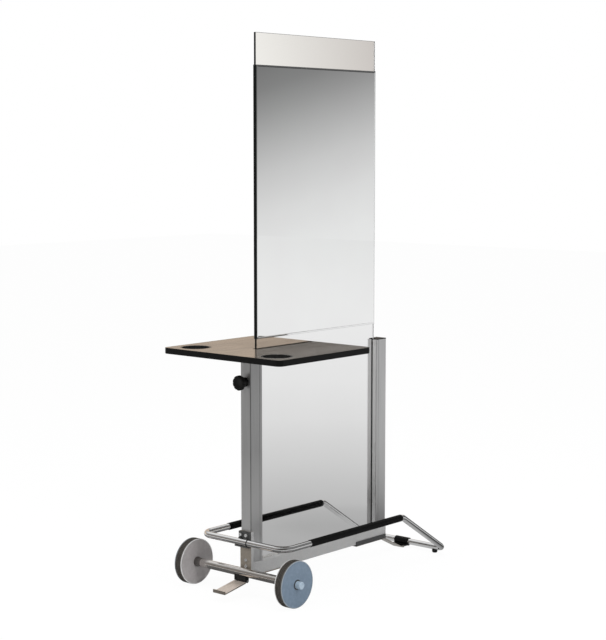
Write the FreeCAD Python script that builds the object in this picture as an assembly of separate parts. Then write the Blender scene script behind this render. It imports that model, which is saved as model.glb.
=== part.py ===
import FreeCAD, Part
import os
import math

# Double sided salon station: one upright sheet of clear glass with a mirror on each face,
# a table that the glass passes through, two posts on a base rail, a tubular footrest loop,
# two front wheels and two rear rubber feet.
# Millimetres. X runs across the glass (near side +X), Y from the front post to the rear
# post, Z up from the floor. The pieces are laid out with Y = 0 at the glass's front edge
# and moved at the end, so that the origin is under the middle of the whole station.

V = FreeCAD.Vector

# ---------------------------------------------------------------- driving dimensions
# Glass sheet and mirrors
glass_width = 626.0
glass_top = 1861.0
glass_thickness = 8.0
glass_arris = 0.8
mirror_table_gap = 3.0
mirror_top_margin = 105.0
mirror_thickness = 3.0
tape_thickness = 0.8
tape_width = 25.0
tape_count = 4
tape_end_gap = 12.0

# Base rail and posts
rail_bottom = 65.0
rail_height = 42.0
rail_width = 45.0
rail_wall = 2.5
rail_overhang = 50.0
post_depth = 57.0
post_wall = 2.5
post_corner = 2.5
front_post_width = 45.0
rear_post_width = 45.0
front_pocket_depth = 7.0
rear_pocket_depth = 7.0
gasket_thickness = 1.5
plug_height = 40.0
plug_clearance = 0.25
cap_thickness = 3.0
cap_skirt = 8.0

# Table
table_width = 525.0
table_front = 174.0
table_rear = 290.0
table_height = 822.0
table_thickness = 20.0
table_corner = 20.0
edging_thickness = 2.0
edging_rounding = 1.0
slot_clearance = 1.5
holder_hole = 92.0
holder_edge_inset = 80.5
holder_front_inset = 76.0
ring_wall = 2.5
ring_flange = 4.0
ring_lip = 1.2

# Table bracket: plate, stem in the front post, and the clamp knob
bracket_plate = 4.0
bracket_half_width = 110.0
bracket_front = 120.0
bracket_rear = 190.0
bracket_corner = 12.0
screw_inset = 14.0
stem_width = 34.0
stem_depth = 29.0
stem_wall = 3.0
stem_length = 165.0
stem_clearance = 0.3
stem_nut_gap = 1.5
guide_height = 22.0
guide_gap = 5.0
table_lift = 30.0
knob_drop = 105.5
knob_diameter = 50.0
knob_thickness = 13.0
knob_lobes = 10
knob_standoff = 24.0
knob_skin = 4.0
knob_lobe_cut = 7.0
knob_lobe_depth = 1.5
knob_rounding = 2.0
stud_tip_gap = 0.1
knob_neck = 25.0
knob_washer_thickness = 2.0
stud_diameter = 10.0
stud_hole_gap = 0.5
thread_clearance = 0.08
nut_width = 24.0
nut_thickness = 6.0

# Wheels and axle
wheel_diameter = 156.0
wheel_width = 30.5
wheel_centre_x = 227.5
axle_ahead = 68.5
tyre_section = 9.0
tyre_shoulder = 1.5
tread_grooves = 3
groove_width = 2.0
groove_depth = 1.6
disc_diameter = 154.0
disc_thickness = 2.0
disc_hole_gap = 1.0
disc_chamfer = 1.2
tyre_side_gap = 0.3
hub_diameter = 46.0
core_web = 5.0
core_rim = 6.0
axle_diameter = 30.0
axle_wall = 2.5
shaft_diameter = 20.0
bush_wall = 2.5
bush_flange = 2.0
bush_flange_width = 4.0
bush_half_gap = 1.0
running_fit = 0.06
collar_diameter = 34.0
collar_length = 7.0
collar_liner = 35.0
wheel_side_play = 0.5
hub_cap_diameter = 25.0
hub_cap_length = 21.0
hub_cap_depth = 10.0
hub_cap_rounding = 2.5

# Front bracket, axle cradle and pedal
bracket_thickness = 2.0
bracket_flange = 11.0
bracket_top = 214.0
bracket_foot = 4.0
bracket_leg = 170.0
cradle_width = 50.0
cradle_height = 16.0
cradle_overlap = 13.0
cradle_depth = 30.0
apron_drop = 9.5
apron_thickness = 2.5
lug_thickness = 6.0
lug_drop = 15.0
pedal_width = 53.0
pedal_thickness = 4.0
pedal_reach = 183.0
pedal_tip_height = 28.0
pedal_lip = 11.0
pedal_pin_diameter = 8.0
pedal_pin_stand = 1.0
pedal_eye = 14.0
pedal_neck_gap = 2.0
pivot_ahead = 2.5
spring_wire = 1.4
spring_turns = 5
spring_bore_gap = 0.6

# Footrest
tube_diameter = 22.0
tube_wall = 2.0
footrest_half_width = 186.0
footrest_rear_half_width = 190.0
footrest_height = 180.5
crossbar_ahead = 70.0
front_bend = 42.0
knee_y = 565.0
knee_bend = 34.0
rear_tube_y = 812.0
rear_tube_height = 22.0
rear_bend = 28.0
sleeve_start = 60.0
sleeve_end = 554.0
sleeve_diameter = 25.0
sleeve_rounding = 1.2
joiner_length = 70.0
joiner_clearance = 0.1
front_joint_x = 27.0
joint_ring_width = 3.0
joint_ring_lip = 1.2
foot_x = 149.0
foot_diameter = 20.0
foot_wrap = 3.0
foot_round = 5.0

# Crossbar mount
mount_width = 47.0
mount_bottom = 160.0
mount_groove = 2.0
mount_tab = 7.0
mount_shelf = 5.0
mount_shelf_reach = 24.0
mount_shelf_corner = 4.0
seat_clearance = 0.05
keeper_width = 9.0
keeper_thickness = 2.5
keeper_top_margin = 2.0

# Rear shoe, strap and tube clamp
shoe_length = 171.0
shoe_thickness = 3.0
shoe_sole = 5.0
shoe_flange = 11.0
strap_width = 38.0
strap_thickness = 4.0
strap_floor_gap = 4.0
strap_foot_start = 780.0
strap_inset = 8.0
clamp_width = 60.0
clamp_wall = 3.0
clamp_base = 6.0
clamp_flange = 11.0
clamp_corner = 4.0

# Fasteners
bolt_diameter = 6.0
bolt_head = 11.0
bolt_head_height = 4.0
clamp_bolt_head_height = 3.0
bolt_clearance = 0.05
bolt_bite = 16.0
pair_half_spacing = 13.0
upper_bolt_drop = 11.0
rail_bolt_drop = 12.0
post_bolt_rise = 9.0
lower_bolt_offset = 2.0
short_bolt_inset = 25.0
screw_diameter = 4.0
screw_head = 8.0
screw_head_height = 2.5
screw_length = 13.0

# ---------------------------------------------------------------- worked-out places
half_glass = glass_thickness / 2
rail_top = rail_bottom + rail_height
table_bottom = table_height - table_thickness
post_top = table_bottom - bracket_plate
mirror_bottom = table_height + table_lift + mirror_table_gap
mirror_top = glass_top - mirror_top_margin
front_post_back = front_pocket_depth
front_post_front = front_post_back - post_depth
rear_post_front = glass_width - rear_pocket_depth
rear_post_back = rear_post_front + post_depth
rail_front = -rail_overhang
rail_back = rear_post_back
slot_half = half_glass + slot_clearance
holder_x = table_width / 2 - holder_edge_inset
holder_y = -(table_front - holder_front_inset)
knob_height = table_height - knob_drop
stem_front = front_post_front + post_wall + nut_thickness + stem_nut_gap
axle_y = -axle_ahead
axle_z = wheel_diameter / 2
bracket_face = rail_front - bracket_thickness
bolt_hole_radius = bolt_diameter / 2 + bolt_clearance
sides = {"near": 1, "far": -1}


# ---------------------------------------------------------------- helpers
def box(x0, x1, y0, y1, z0, z1):
    return Part.makeBox(x1 - x0, y1 - y0, z1 - z0, V(x0, y0, z0))


def rod(start, along, radius, length):
    return Part.makeCylinder(radius, length, start, along)


def rod_y(x, z, y0, y1, radius):
    return rod(V(x, y0, z), V(0, 1, 0), radius, y1 - y0)


def rod_z(x, y, z0, z1, radius):
    return rod(V(x, y, z0), V(0, 0, 1), radius, z1 - z0)


def fuse(shapes):
    whole = shapes[0]
    for shape in shapes[1:]:
        whole = whole.fuse(shape)
    return whole.removeSplitter()


def mirrored(shape):
    return shape.mirror(V(0, 0, 0), V(1, 0, 0))


def on_side(shape, side):
    return shape if side == 1 else mirrored(shape)


def vertical_edges(shape):
    chosen = []
    for edge in shape.Edges:
        box_of_edge = edge.BoundBox
        if box_of_edge.XLength < 1e-6 and box_of_edge.YLength < 1e-6:
            chosen.append(edge)
    return chosen


def side_profile(points, x0, x1):
    # A flat outline given as (y, z) points, extruded along X.
    corners = [V(x0, y, z) for y, z in points]
    face = Part.Face(Part.makePolygon(corners + corners[:1]))
    return face.extrude(V(x1 - x0, 0, 0))


def bent_path(points, radii):
    # Straight runs joined by tangent arcs, one radius per inner point.
    edges = []
    last = points[0]
    for i, radius in enumerate(radii, start=1):
        corner = points[i]
        back = (points[i - 1] - corner).normalize()
        ahead = (points[i + 1] - corner).normalize()
        half_angle = back.getAngle(ahead) / 2
        reach = radius / math.tan(half_angle)
        arc_start = corner + back * reach
        arc_end = corner + ahead * reach
        bisector = (back + ahead).normalize()
        arc_middle = corner + bisector * (radius / math.sin(half_angle) - radius)
        edges.append(Part.LineSegment(last, arc_start).toShape())
        edges.append(Part.Arc(arc_start, arc_middle, arc_end).toShape())
        last = arc_end
    edges.append(Part.LineSegment(last, points[-1]).toShape())
    return Part.Wire(edges)


def swept(path, radius, start, along):
    ring = Part.Wire([Part.makeCircle(radius, start, along)])
    return path.makePipeShell([ring], True, False)


def bolt(head_at, along, shank, length):
    # Head outside, shank running the other way.
    head = rod(head_at, along, bolt_head / 2, bolt_head_height)
    socket = rod(head_at + along * (bolt_head_height / 2), along, bolt_head / 4, bolt_head_height)
    return fuse([head, rod(head_at, along * -1, shank / 2, length)]).cut(socket)


# ---------------------------------------------------------------- glass and mirrors
def make_glass_sheet():
    # Ground flat on its edges, with a small arris all round.
    sheet = box(-half_glass, half_glass, 0, glass_width, rail_top, glass_top)
    return sheet.makeChamfer(glass_arris, sheet.Edges)


def tape_strip(i):
    pitch = (glass_width - 2 * tape_end_gap - tape_width) / (tape_count - 1)
    y = tape_end_gap + i * pitch
    low = mirror_bottom + tape_end_gap
    high = mirror_top - tape_end_gap
    return box(half_glass, half_glass + tape_thickness, y, y + tape_width, low, high)


def make_mirror_tapes():
    near = [tape_strip(i) for i in range(tape_count)]
    far = [mirrored(strip) for strip in near]
    return Part.makeCompound(near + far)


def make_mirror(side):
    x = half_glass + tape_thickness
    return on_side(box(x, x + mirror_thickness, 0, glass_width, mirror_bottom, mirror_top), side)


# ---------------------------------------------------------------- posts and rail
def post_profile(width, open_face, closed_face, pocket_end):
    # Extruded profile: open pocket for the glass, one main chamber, two side chambers.
    # open_face is the y of the pocket's mouth, closed_face of the far wall.
    inward = 1 if closed_face > open_face else -1
    half = width / 2
    pocket = half_glass + gasket_thickness
    web = pocket_end + inward * post_wall
    outer = box(-half, half, min(open_face, closed_face), max(open_face, closed_face), rail_top, post_top)
    outer = outer.makeFillet(post_corner, vertical_edges(outer))
    cuts = [chamber(-pocket, pocket, open_face, pocket_end)]
    cuts.append(chamber(-half + post_wall, half - post_wall, web, closed_face - inward * post_wall))
    if abs(pocket_end - open_face) > 3 * post_wall:
        side_start = open_face + inward * post_wall
        for side in (1, -1):
            a = side * (pocket + post_wall)
            b = side * (half - post_wall)
            cuts.append(chamber(min(a, b), max(a, b), side_start, pocket_end))
    for cut in cuts:
        outer = outer.cut(cut)
    return outer


def chamber(x0, x1, ya, yb):
    return box(x0, x1, min(ya, yb), max(ya, yb), rail_top, post_top)


def make_front_post():
    post = post_profile(front_post_width, front_post_back, front_post_front, -gasket_thickness)
    y0 = front_post_front - 1
    y1 = front_post_front + post_wall + 1
    post = post.cut(rod_y(0, knob_height, y0, y1, stud_diameter / 2 + stud_hole_gap))
    for x, z in upper_bolt_places() + lower_bolt_places()[1:]:
        post = post.cut(rod_y(x, z, y0, y1, bolt_hole_radius))
    return post


def make_rear_post():
    return post_profile(rear_post_width, rear_post_front, rear_post_back, glass_width + gasket_thickness)


def gasket(mouth, bottom):
    outer = half_glass + gasket_thickness
    lining = chamber(-outer, outer, mouth, bottom)
    inward = 1 if bottom > mouth else -1
    return lining.cut(chamber(-half_glass, half_glass, mouth, bottom - inward * gasket_thickness))


def make_front_gasket():
    return gasket(front_post_back, -gasket_thickness)


def make_rear_gasket():
    return gasket(rear_post_front, glass_width + gasket_thickness)


def make_rear_post_cap():
    half = rear_post_width / 2
    start = glass_width + gasket_thickness
    lid = box(-half, half, start, rear_post_back, post_top, post_top + cap_thickness)
    lid = lid.makeFillet(cap_thickness * 0.6, [e for e in lid.Edges if e.BoundBox.ZMin > post_top + 1])
    inner = half - post_wall - plug_clearance
    near_y = start + post_wall + plug_clearance
    far_y = rear_post_back - post_wall - plug_clearance
    skirt = box(-inner, inner, near_y, far_y, post_top - cap_skirt, post_top)
    return fuse([lid, skirt])


def make_base_rail():
    half = rail_width / 2
    tube = box(-half, half, rail_front, rail_back, rail_bottom, rail_top)
    inner = half - rail_wall
    hollow = box(-inner, inner, rail_front, rail_back, rail_bottom + rail_wall, rail_top - rail_wall)
    tube = tube.cut(hollow)
    front_y, middle_y, rear_y = rail_bolt_places()
    for y, top in ((front_y, rail_top), (middle_y, rail_bottom + rail_wall), (rear_y, rail_top)):
        tube = tube.cut(rod_z(0, y, rail_bottom - 1, top + 1, bolt_hole_radius))
    return tube


def rail_bolt_places():
    return [front_chamber_middle(), rail_back - shoe_length + short_bolt_inset, rear_chamber_middle()]


def front_chamber_middle():
    return (front_post_front - gasket_thickness) / 2


def rear_chamber_middle():
    return (glass_width + gasket_thickness + rear_post_back) / 2


def plug_solids():
    plugs = []
    front_half = front_post_width / 2 - post_wall - plug_clearance
    front_y0 = front_post_front + post_wall + plug_clearance
    front_y1 = -gasket_thickness - post_wall - plug_clearance
    plugs.append(box(-front_half, front_half, front_y0, front_y1, rail_top, rail_top + plug_height))
    rear_half = rear_post_width / 2 - post_wall - plug_clearance
    rear_y0 = glass_width + gasket_thickness + post_wall + plug_clearance
    rear_y1 = rear_post_back - post_wall - plug_clearance
    plugs.append(box(-rear_half, rear_half, rear_y0, rear_y1, rail_top, rail_top + plug_height))
    rail_half = rail_width / 2 - rail_wall - plug_clearance
    low = rail_bottom + rail_wall + plug_clearance
    high = rail_top - rail_wall - plug_clearance
    plugs.append(box(-rail_half, rail_half, rail_front, rail_front + plug_height, low, high))
    return plugs


def make_post_plugs():
    # Solid blocks in the foot of each post and in the rail's front end, which the bolts
    # screw into.
    holes = []
    for y in (front_chamber_middle(), rear_chamber_middle()):
        holes.append(rod_z(0, y, rail_bottom, rail_top + bolt_bite, bolt_diameter / 2))
    for x, z in lower_bolt_places():
        holes.append(rod_y(x, z, bracket_face, rail_front + bolt_bite, bolt_diameter / 2))
    drilled = []
    for plug in plug_solids():
        for hole in holes:
            plug = plug.cut(hole)
        drilled.append(plug)
    return Part.makeCompound(drilled)


def make_rail_end_cap():
    half = rail_width / 2
    lid = box(-half, half, rail_back, rail_back + cap_thickness, rail_bottom, rail_top)
    lid = lid.makeFillet(cap_thickness * 0.6, [e for e in lid.Edges if e.BoundBox.YMin > rail_back + 1])
    inner = half - rail_wall - plug_clearance
    low = rail_bottom + rail_wall + plug_clearance
    high = rail_top - rail_wall - plug_clearance
    return fuse([lid, box(-inner, inner, rail_back - cap_skirt, rail_back, low, high)])


# ---------------------------------------------------------------- front bracket
def make_front_bracket():
    # A folded steel channel up the front of the post, with a flat foot back under the rail.
    half = rail_width / 2
    out = half + bracket_thickness
    low = rail_bottom - bracket_foot
    upright = box(-out, out, bracket_face, rail_front + bracket_flange, low, bracket_top)
    foot = box(-half, half, bracket_face, rail_front + bracket_leg, low, rail_bottom)
    inside = box(-half, half, rail_front, rail_front + bracket_leg, rail_bottom, bracket_top + 1)
    channel = fuse([upright, foot]).cut(inside)
    for x, z in upper_bolt_places() + lower_bolt_places():
        channel = channel.cut(rod_y(x, z, bracket_face - 1, rail_front + 1, bolt_hole_radius))
    return channel.cut(rod_z(0, front_chamber_middle(), low - 1, rail_bottom + 1, bolt_hole_radius))


def upper_bolt_places():
    return [(x, bracket_top - upper_bolt_drop) for x in (-pair_half_spacing, pair_half_spacing)]


def lower_bolt_places():
    # One into the rail's plug and one into the post's plug.
    return [(lower_bolt_offset, rail_top - rail_bolt_drop), (lower_bolt_offset, rail_top + post_bolt_rise)]


def bracket_bolt_solids():
    out = V(0, -1, 0)
    bolts = []
    for x, z in upper_bolt_places():
        seat = mount_face() - keeper_thickness
        bolts.append(bolt(V(x, seat, z), out, bolt_diameter, front_post_front + post_wall - seat))
    for x, z in lower_bolt_places():
        bolts.append(bolt(V(x, bracket_face, z), out, bolt_diameter, bracket_thickness + bolt_bite))
    return bolts


# ---------------------------------------------------------------- crossbar mount
def mount_face():
    return -crossbar_ahead + tube_diameter / 2 - mount_groove


def make_crossbar_mount():
    half = mount_width / 2
    block = box(-half, half, mount_face(), bracket_face, mount_bottom, bracket_top)
    tube = crossbar_solid(tube_diameter / 2 + seat_clearance)
    shelf_top = footrest_height - tube_diameter / 2 - seat_clearance
    shelf_front = bracket_face - mount_shelf_reach
    shelf = box(-half - mount_tab, half, shelf_front, bracket_face, shelf_top - mount_shelf, shelf_top)
    shelf = shelf.makeFillet(mount_shelf_corner, vertical_edges(shelf))
    mount = fuse([block, shelf]).cut(tube)
    for x, z in upper_bolt_places():
        mount = mount.cut(rod_y(x, z, mount_face() - 1, bracket_face + 1, bolt_hole_radius))
    return mount


def make_crossbar_keepers():
    # Short hooks over the back of the crossbar, bolted above it, that keep it in the groove.
    outer = tube_diameter / 2 + seat_clearance + keeper_thickness
    face = mount_face()
    keepers = []
    for x, z in upper_bolt_places():
        left = x - keeper_width / 2
        right = x + keeper_width / 2
        hook = rod(V(left, -crossbar_ahead, footrest_height), V(1, 0, 0), outer, keeper_width)
        hook = hook.common(box(left, right, -crossbar_ahead, face, footrest_height, bracket_top))
        ear_top = bracket_top - keeper_top_margin
        ear = box(left, right, face - keeper_thickness, face, footrest_height, ear_top)
        keeper = fuse([hook, ear]).cut(crossbar_solid(tube_diameter / 2 + seat_clearance))
        keepers.append(keeper.cut(rod_y(x, z, face - outer, face + 1, bolt_hole_radius)))
    return Part.makeCompound(keepers)


def crossbar_solid(radius):
    length = 2 * (footrest_half_width - front_bend)
    return rod(V(-length / 2, -crossbar_ahead, footrest_height), V(1, 0, 0), radius, length)


# ---------------------------------------------------------------- footrest
def footrest_path(front_start):
    start = V(front_start, -crossbar_ahead, footrest_height)
    corner = V(footrest_half_width, -crossbar_ahead, footrest_height)
    knee = V(footrest_half_width, knee_y, footrest_height)
    rear = V(footrest_rear_half_width, rear_tube_y, rear_tube_height)
    end = V(0, rear_tube_y, rear_tube_height)
    return bent_path([start, corner, knee, rear, end], [front_bend, knee_bend, rear_bend])


def make_footrest_tube(side):
    # Half of the loop: the halves meet at a ring in front and under the clamp behind.
    front_start = side * front_joint_x + joint_ring_width / 2
    path = footrest_path(front_start)
    start = V(front_start, -crossbar_ahead, footrest_height)
    outer = swept(path, tube_diameter / 2, start, V(1, 0, 0))
    inner = swept(path, tube_diameter / 2 - tube_wall, start, V(1, 0, 0))
    return on_side(outer.cut(inner), side)


def make_footrest_joiners():
    radius = tube_diameter / 2 - tube_wall - joiner_clearance
    front = V(front_joint_x - joiner_length / 2, -crossbar_ahead, footrest_height)
    rear = V(-joiner_length / 2, rear_tube_y, rear_tube_height)
    return Part.makeCompound([rod(p, V(1, 0, 0), radius, joiner_length) for p in (front, rear)])


def make_joint_ring():
    start = V(front_joint_x - joint_ring_width / 2, -crossbar_ahead, footrest_height)
    ring = rod(start, V(1, 0, 0), tube_diameter / 2 + joint_ring_lip, joint_ring_width)
    ring = ring.makeFillet(joint_ring_lip * 0.8, [e for e in ring.Edges if e.Length > tube_diameter])
    bore = tube_diameter / 2 - tube_wall - joiner_clearance
    return ring.cut(rod(start, V(1, 0, 0), bore, joint_ring_width))


def make_footrest_sleeve(side):
    start = V(footrest_half_width, sleeve_start, footrest_height)
    length = sleeve_end - sleeve_start
    sleeve = rod(start, V(0, 1, 0), sleeve_diameter / 2, length)
    sleeve = sleeve.makeFillet(sleeve_rounding, sleeve.Edges[:1] + sleeve.Edges[2:])
    return on_side(sleeve.cut(rod(start, V(0, 1, 0), tube_diameter / 2, length)), side)


def make_rear_foot(side):
    top = rear_tube_height - tube_diameter / 2 + foot_wrap
    foot = rod(V(foot_x, rear_tube_y, 0), V(0, 0, 1), foot_diameter / 2, top)
    foot = foot.makeFillet(foot_round, [e for e in foot.Edges if e.BoundBox.ZMax < 1])
    cross = rod(V(0, rear_tube_y, rear_tube_height), V(1, 0, 0), tube_diameter / 2, 2 * foot_x)
    return on_side(foot.cut(cross), side)


# ---------------------------------------------------------------- rear shoe, strap, clamp
def make_rear_shoe():
    half = rail_width / 2
    out = half + shoe_thickness
    low = rail_bottom - shoe_sole
    start = rail_back - shoe_length
    shoe = box(-out, out, start, rail_back, low, rail_bottom + shoe_flange)
    shoe = shoe.cut(box(-half, half, start, rail_back, rail_bottom, rail_bottom + shoe_flange + 1))
    for y in shoe_bolt_places():
        shoe = shoe.cut(rod_z(0, y, low - 1, rail_bottom + 1, bolt_hole_radius))
    return shoe


def shoe_bolt_places():
    return rail_bolt_places()[1:]


def strap_outline():
    top = rail_bottom - shoe_sole
    start = rail_back - shoe_length + strap_inset
    end = clamp_rear()
    foot_top = strap_floor_gap + strap_thickness
    drop = top - foot_top
    run = strap_foot_start - rail_back
    slant = math.hypot(drop, run)
    lead = strap_thickness * (slant - run) / drop
    upper = [(start, top), (rail_back, top), (strap_foot_start, foot_top), (end, foot_top)]
    lower = [(end, foot_top - strap_thickness), (strap_foot_start - lead, foot_top - strap_thickness)]
    lower += [(rail_back - lead, top - strap_thickness), (start, top - strap_thickness)]
    return upper + lower


def make_rear_strap():
    strap = side_profile(strap_outline(), -strap_width / 2, strap_width / 2)
    for y in shoe_bolt_places():
        strap = strap.cut(rod_z(0, y, 0, rail_bottom, bolt_hole_radius))
    for x, y in clamp_bolt_places():
        strap = strap.cut(rod_z(x, y, 0, rear_tube_height, bolt_hole_radius))
    return strap


def clamp_rear():
    return rear_tube_y + tube_diameter / 2 + clamp_flange


def clamp_front():
    return rear_tube_y - tube_diameter / 2 - clamp_flange


def clamp_bolt_places():
    inset = bolt_head / 2
    rows = (clamp_front() + inset, clamp_rear() - inset)
    return [(x, y) for x in (-pair_half_spacing, pair_half_spacing) for y in rows]


def make_tube_clamp():
    base = strap_floor_gap + strap_thickness
    half = clamp_width / 2
    flange = box(-half, half, clamp_front(), clamp_rear(), base, base + clamp_base)
    flange = flange.makeFillet(clamp_corner, vertical_edges(flange))
    middle = V(-half, rear_tube_y, rear_tube_height)
    radius = tube_diameter / 2 + clamp_wall
    hood = rod(middle, V(1, 0, 0), radius, clamp_width)
    hood = hood.cut(box(-half, half, clamp_front(), clamp_rear(), -radius, base))
    clamp = fuse([flange, hood]).cut(rod(middle, V(1, 0, 0), tube_diameter / 2, clamp_width))
    for x, y in clamp_bolt_places():
        clamp = clamp.cut(rod_z(x, y, 0, base + clamp_base, bolt_diameter / 2))
    return clamp


def make_clamp_bolts():
    seat = strap_floor_gap
    top = seat + strap_thickness + clamp_base
    bolts = []
    for x, y in clamp_bolt_places():
        head = rod_z(x, y, seat - clamp_bolt_head_height, seat, bolt_head / 2)
        bolts.append(fuse([head, rod_z(x, y, seat, top, bolt_diameter / 2)]))
    return Part.makeCompound(bolts)


def rail_bolt_solids():
    # Front and rear: through bracket or shoe and the rail into the post's plug.
    # Middle: a short one through strap and shoe into the rail's lower wall.
    down = V(0, 0, -1)
    front_y, short_y, rear_y = rail_bolt_places()
    front_seat = rail_bottom - bracket_foot
    rear_seat = rail_bottom - shoe_sole - strap_thickness
    high = rail_top + bolt_bite
    low = rail_bottom + rail_wall
    places = [(front_y, front_seat, high), (short_y, rear_seat, low), (rear_y, rear_seat, high)]
    return [bolt(V(0, y, seat), down, bolt_diameter, top - seat) for y, seat, top in places]


def make_frame_bolts():
    return Part.makeCompound(bracket_bolt_solids() + rail_bolt_solids())


# ---------------------------------------------------------------- axle and wheels
def axle_tube_end():
    return wheel_centre_x - wheel_width / 2 - wheel_side_play - collar_length


def make_axle_tube():
    end = axle_tube_end()
    start = V(-end, axle_y, axle_z)
    tube = rod(start, V(1, 0, 0), axle_diameter / 2, 2 * end)
    return tube.cut(rod(start, V(1, 0, 0), axle_diameter / 2 - axle_wall, 2 * end))


def shaft_end():
    return wheel_centre_x + wheel_width / 2 + wheel_side_play + hub_cap_depth


def make_axle_shaft():
    end = shaft_end()
    return rod(V(-end, axle_y, axle_z), V(1, 0, 0), shaft_diameter / 2, 2 * end)


def make_axle_collars():
    collars = []
    for side in sides.values():
        start = V(axle_tube_end(), axle_y, axle_z)
        inner_start = start - V(collar_liner, 0, 0)
        outer = rod(start, V(1, 0, 0), collar_diameter / 2, collar_length)
        liner = rod(inner_start, V(1, 0, 0), axle_diameter / 2 - axle_wall, collar_liner)
        bore = rod(inner_start, V(1, 0, 0), shaft_diameter / 2, collar_liner + collar_length)
        collars.append(on_side(fuse([outer, liner]).cut(bore), side))
    return Part.makeCompound(collars)


def make_hub_cap(side):
    start_x = wheel_centre_x + wheel_width / 2 + wheel_side_play
    start = V(start_x, axle_y, axle_z)
    cap = rod(start, V(1, 0, 0), hub_cap_diameter / 2, hub_cap_length)
    outer_edges = [e for e in cap.Edges if e.BoundBox.XMin > start_x + hub_cap_length - 1]
    cap = cap.makeFillet(hub_cap_rounding, outer_edges)
    return on_side(cap.cut(rod(start, V(1, 0, 0), shaft_diameter / 2, hub_cap_depth)), side)


def turned(points):
    # Outline of (x, radius) points turned about the axle's line.
    corners = [V(x, axle_y, axle_z + r) for x, r in points]
    face = Part.Face(Part.makePolygon(corners + corners[:1]))
    return face.revolve(V(0, axle_y, axle_z), V(1, 0, 0), 360)


def tyre_half_width():
    return wheel_width / 2 - disc_thickness - tyre_side_gap


def make_tyre(side):
    c = wheel_centre_x
    h = tyre_half_width()
    r = wheel_diameter / 2
    inner = r - tyre_section
    s = tyre_shoulder
    outline = [(c - h, inner), (c - h, r - s), (c - h + s / 2, r - s / 3), (c - h + s, r)]
    outline += [(c + h - s, r), (c + h - s / 2, r - s / 3), (c + h, r - s), (c + h, inner)]
    tyre = turned(outline)
    flat = 2 * (h - s)
    for i in range(tread_grooves):
        x = c - h + s + flat * (i + 1) / (tread_grooves + 1)
        a = x - groove_width / 2
        b = x + groove_width / 2
        tyre = tyre.cut(turned([(a, r - groove_depth), (a, r + 1), (b, r + 1), (b, r - groove_depth)]))
    return on_side(tyre, side)


def make_wheel_core(side):
    c = wheel_centre_x
    h = tyre_half_width()
    rim_out = wheel_diameter / 2 - tyre_section
    rim_in = rim_out - core_rim
    hub = hub_diameter / 2
    web = core_web / 2
    bore = shaft_diameter / 2 + running_fit + bush_wall
    side_x = wheel_width / 2 - bush_flange
    outline = [(c - side_x, bore), (c - side_x, hub), (c - web, hub), (c - web, rim_in), (c - h, rim_in)]
    outline += [(c - h, rim_out), (c + h, rim_out), (c + h, rim_in), (c + web, rim_in), (c + web, hub)]
    outline += [(c + side_x, hub), (c + side_x, bore)]
    return on_side(turned(outline), side)


def make_wheel_disc(side, outward):
    # Thin cover with a turned-in lip at its rim, clipped round the hub.
    c = wheel_centre_x
    face = wheel_width / 2
    r = disc_diameter / 2
    hole = shaft_diameter / 2 + running_fit + bush_wall + bush_flange_width + disc_hole_gap
    t = disc_thickness
    b = disc_chamfer
    outline = [(face - t, hole), (face, hole), (face, r - b), (face - b, r), (face - t, r)]
    return on_side(turned([(c + outward * x, radius) for x, radius in outline]), side)


def make_wheel_bushes(side):
    c = wheel_centre_x
    bore = shaft_diameter / 2 + running_fit
    wall = bore + bush_wall
    flange = wall + bush_flange_width
    end = wheel_width / 2
    seat = end - bush_flange
    inner = bush_half_gap
    bushes = []
    for outward in (1, -1):
        outline = [(inner, bore), (end, bore), (end, flange), (seat, flange), (seat, wall), (inner, wall)]
        bushes.append(turned([(c + outward * x, radius) for x, radius in outline]))
    return on_side(Part.makeCompound(bushes), side)


# ---------------------------------------------------------------- cradle and pedal
def cradle_low():
    return axle_z - axle_diameter / 2 + cradle_overlap - cradle_height


def pedal_pivot():
    return V(0, axle_y - pivot_ahead, cradle_low() - lug_drop + pedal_eye / 2)


def make_axle_cradle():
    # A block under the axle, two lugs for the pedal's pin and an apron in front of its springs.
    half = cradle_width / 2
    low = cradle_low()
    front = bracket_face - cradle_depth
    block = box(-half, half, front, bracket_face, low, low + cradle_height)
    apron = box(-half, half, front, front + apron_thickness, low - apron_drop, low)
    lugs = []
    pivot = pedal_pivot()
    for x in (-half, half - lug_thickness):
        lug = box(x, x + lug_thickness, pivot.y - pedal_eye / 2, pivot.y + pedal_eye / 2, pivot.z, low)
        tip = rod(V(x, pivot.y, pivot.z), V(1, 0, 0), pedal_eye / 2, lug_thickness)
        lugs.append(lug.fuse(tip))
    cradle = fuse([block, apron] + lugs)
    seat = rod(V(-half, axle_y, axle_z), V(1, 0, 0), axle_diameter / 2, cradle_width)
    pin = rod(V(-half, pivot.y, pivot.z), V(1, 0, 0), pedal_pin_diameter / 2, cradle_width)
    return cradle.cut(seat).cut(pin)


def make_pedal_pin():
    half = cradle_width / 2 + pedal_pin_stand
    pivot = pedal_pivot()
    return rod(V(-half, pivot.y, pivot.z), V(1, 0, 0), pedal_pin_diameter / 2, 2 * half)


def pedal_eye_half():
    # The springs lie between the eye and the lugs, with half a wire free at each end.
    return cradle_width / 2 - lug_thickness - spring_wire * (spring_turns + 1)


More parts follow.
